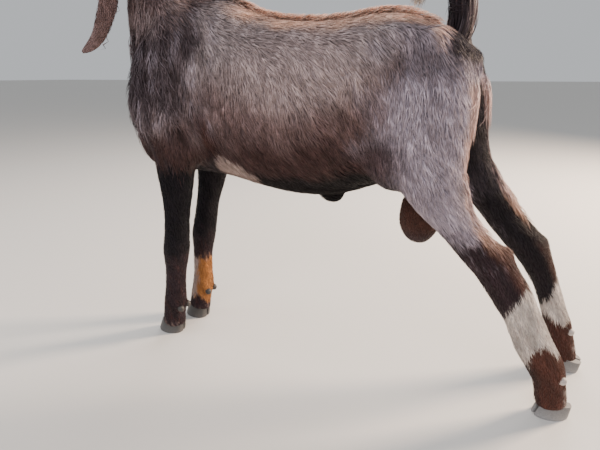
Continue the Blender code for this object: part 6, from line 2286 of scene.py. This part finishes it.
def closed_curve(outline, steps):
    """A smooth closed line through a closed outline's points."""
    table = np.array(outline, float)
    made = []
    for i in range(len(table)):
        near = [table[(i + k) % len(table)] for k in (-1, 0, 1, 2)]
        made += [curve_point(*near, step / steps) for step in range(steps)]
    return made
def add_claw(name, foot, turn, inner):
    middle = CLAW_WIDTH * 0.45
    outline = closed_curve(CLAW_OUTLINE, CLAW_POINTS)
    levels = [(0.0, CLAW_SOLE_SIZE, 0.0, 0.0, 0.0)]
    for i in range(CLAW_WALL_LEVELS + 1):
        share = i / CLAW_WALL_LEVELS
        height = CLAW_SOLE_EDGE + (CLAW_HEIGHT - CLAW_SOLE_EDGE) * share
        size = 1 + (CLAW_TOP_SIZE - 1) * share
        growth = 0.006 * math.sin(math.tau * CLAW_GROWTHS * share)
        drop = CLAW_HEEL_DROP * CLAW_HEIGHT * share
        levels.append((height, size + growth, CLAW_TOP_BACK * share, drop, share))
    rings, colours = [], []
    for height, size, back, drop, share in levels:
        ring = []
        for along, out in outline:
            x = back + along * CLAW_LENGTH * size
            y = CLAW_CLEFT / 2 + max(out, 0) * (CLAW_WIDTH - CLAW_CLEFT / 2)
            y = inner * (middle + (y - middle) * size)
            ring.append(foot + turn @ Vector((x, y, height - drop * (along + 0.5))))
            tone = (0.13 + 0.10 * (1 - share) ** 2) * HOOF_SHADES[name.split("_")[1]]
            colours.append((tone, tone * 0.96, tone * 0.94))
        rings.append(ring)
    bm = bmesh.new()
    add_rings(bm, rings)
    mesh = hard_mesh(bm, name, colours, HOOF_PAINT)
    mesh.set_sharp_from_angle(angle=math.radians(50))
    piece = goat_object(name, placed(mesh))
    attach(piece, "root")
    return piece


FEET = {}
for word, side in SIDES.items():
    FEET[f"fore_{word}"] = (FORE_FOOT_BACK[side], side * FORE_FOOT_OUT)
    FEET[f"hind_{word}"] = tuple(hind_leg_rows(side)[-1][:2])
for foot, (x, y) in FEET.items():
    outward = -1 if y > 0 else 1
    turn = Matrix.Rotation(outward * math.radians(TOES_OUT[foot]), 3, "Z")
    for inner, which in ((1, "a"), (-1, "b")):
        piece = add_claw(f"hoof_{foot}_{which}", Vector((x - CLAW_AHEAD[foot[:4]], y, 0)), turn, inner)
        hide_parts(f"claw_{foot}_{which}")
print("claws:", 2 * len(FEET))

# %% [markdown]
# ## Dewclaws
# Behind each fetlock hang two small claws that don't reach the ground. Each is a blunt cap of
# horn, dark in front and pale behind, that sits on the bump of flesh there.

# %% Make the dewclaws
DEWCLAW_CAP = Vector((0.0100, 0.0088, 0.0115))
CAP_BACK, CAP_DROP = 0.0060, 0.0025
DEWCLAW_TONES = {"fore": 0.030, "hind": 0.34}
DEWCLAW_COLOUR = np.array((1.0, 0.88, 0.82))


def add_dewclaw_cap(name, fetlock, across, pale):
    bump = Vector(fetlock[:3]) + Vector((DEWCLAW_BACK, across * DEWCLAW_OUT, -DEWCLAW_DROP))
    bm = bmesh.new()
    add_ball(bm, bump + Vector((CAP_BACK, 0, -CAP_DROP)), DEWCLAW_CAP, turn=Matrix.Rotation(-0.6, 3, "Y"))
    for vertex in bm.verts:
        vertex.co.z -= 0.25 * max(vertex.co.z - bump.z, 0)
    low = np.array([(vertex.co.z - bump.z) / DEWCLAW_CAP.z for vertex in bm.verts])
    tone = pale * (1 - 0.35 * low + 0.15 * np.sin(low * 9))[:, None]
    mesh = hard_mesh(bm, name, tone * DEWCLAW_COLOUR, HOOF_PAINT)
    piece = goat_object(name, placed(mesh))
    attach(piece, "root")


for word, side in SIDES.items():
    fore, hind = fore_leg_rows(side)[FETLOCK_ROW], hind_leg_rows(side)[HIND_FETLOCK_ROW[side]]
    for leg, fetlock in (("fore", fore), ("hind", hind)):
        for across, which in ((1, "a"), (-1, "b")):
            add_dewclaw_cap(f"dewclaw_{leg}_{word}_{which}", fetlock, across, DEWCLAW_TONES[leg])
print("dewclaws: 8")

# %% [markdown]
# ## Finish
# The skin stands for all the flesh nodes of the CAD, which are hidden.

# %% Finish
placed(skin.data)
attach(skin, "root")
HARD_NODES = ("claw", "horn", "eye")
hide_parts(*[node for node in frame["nodes"] if not node.startswith(HARD_NODES)])
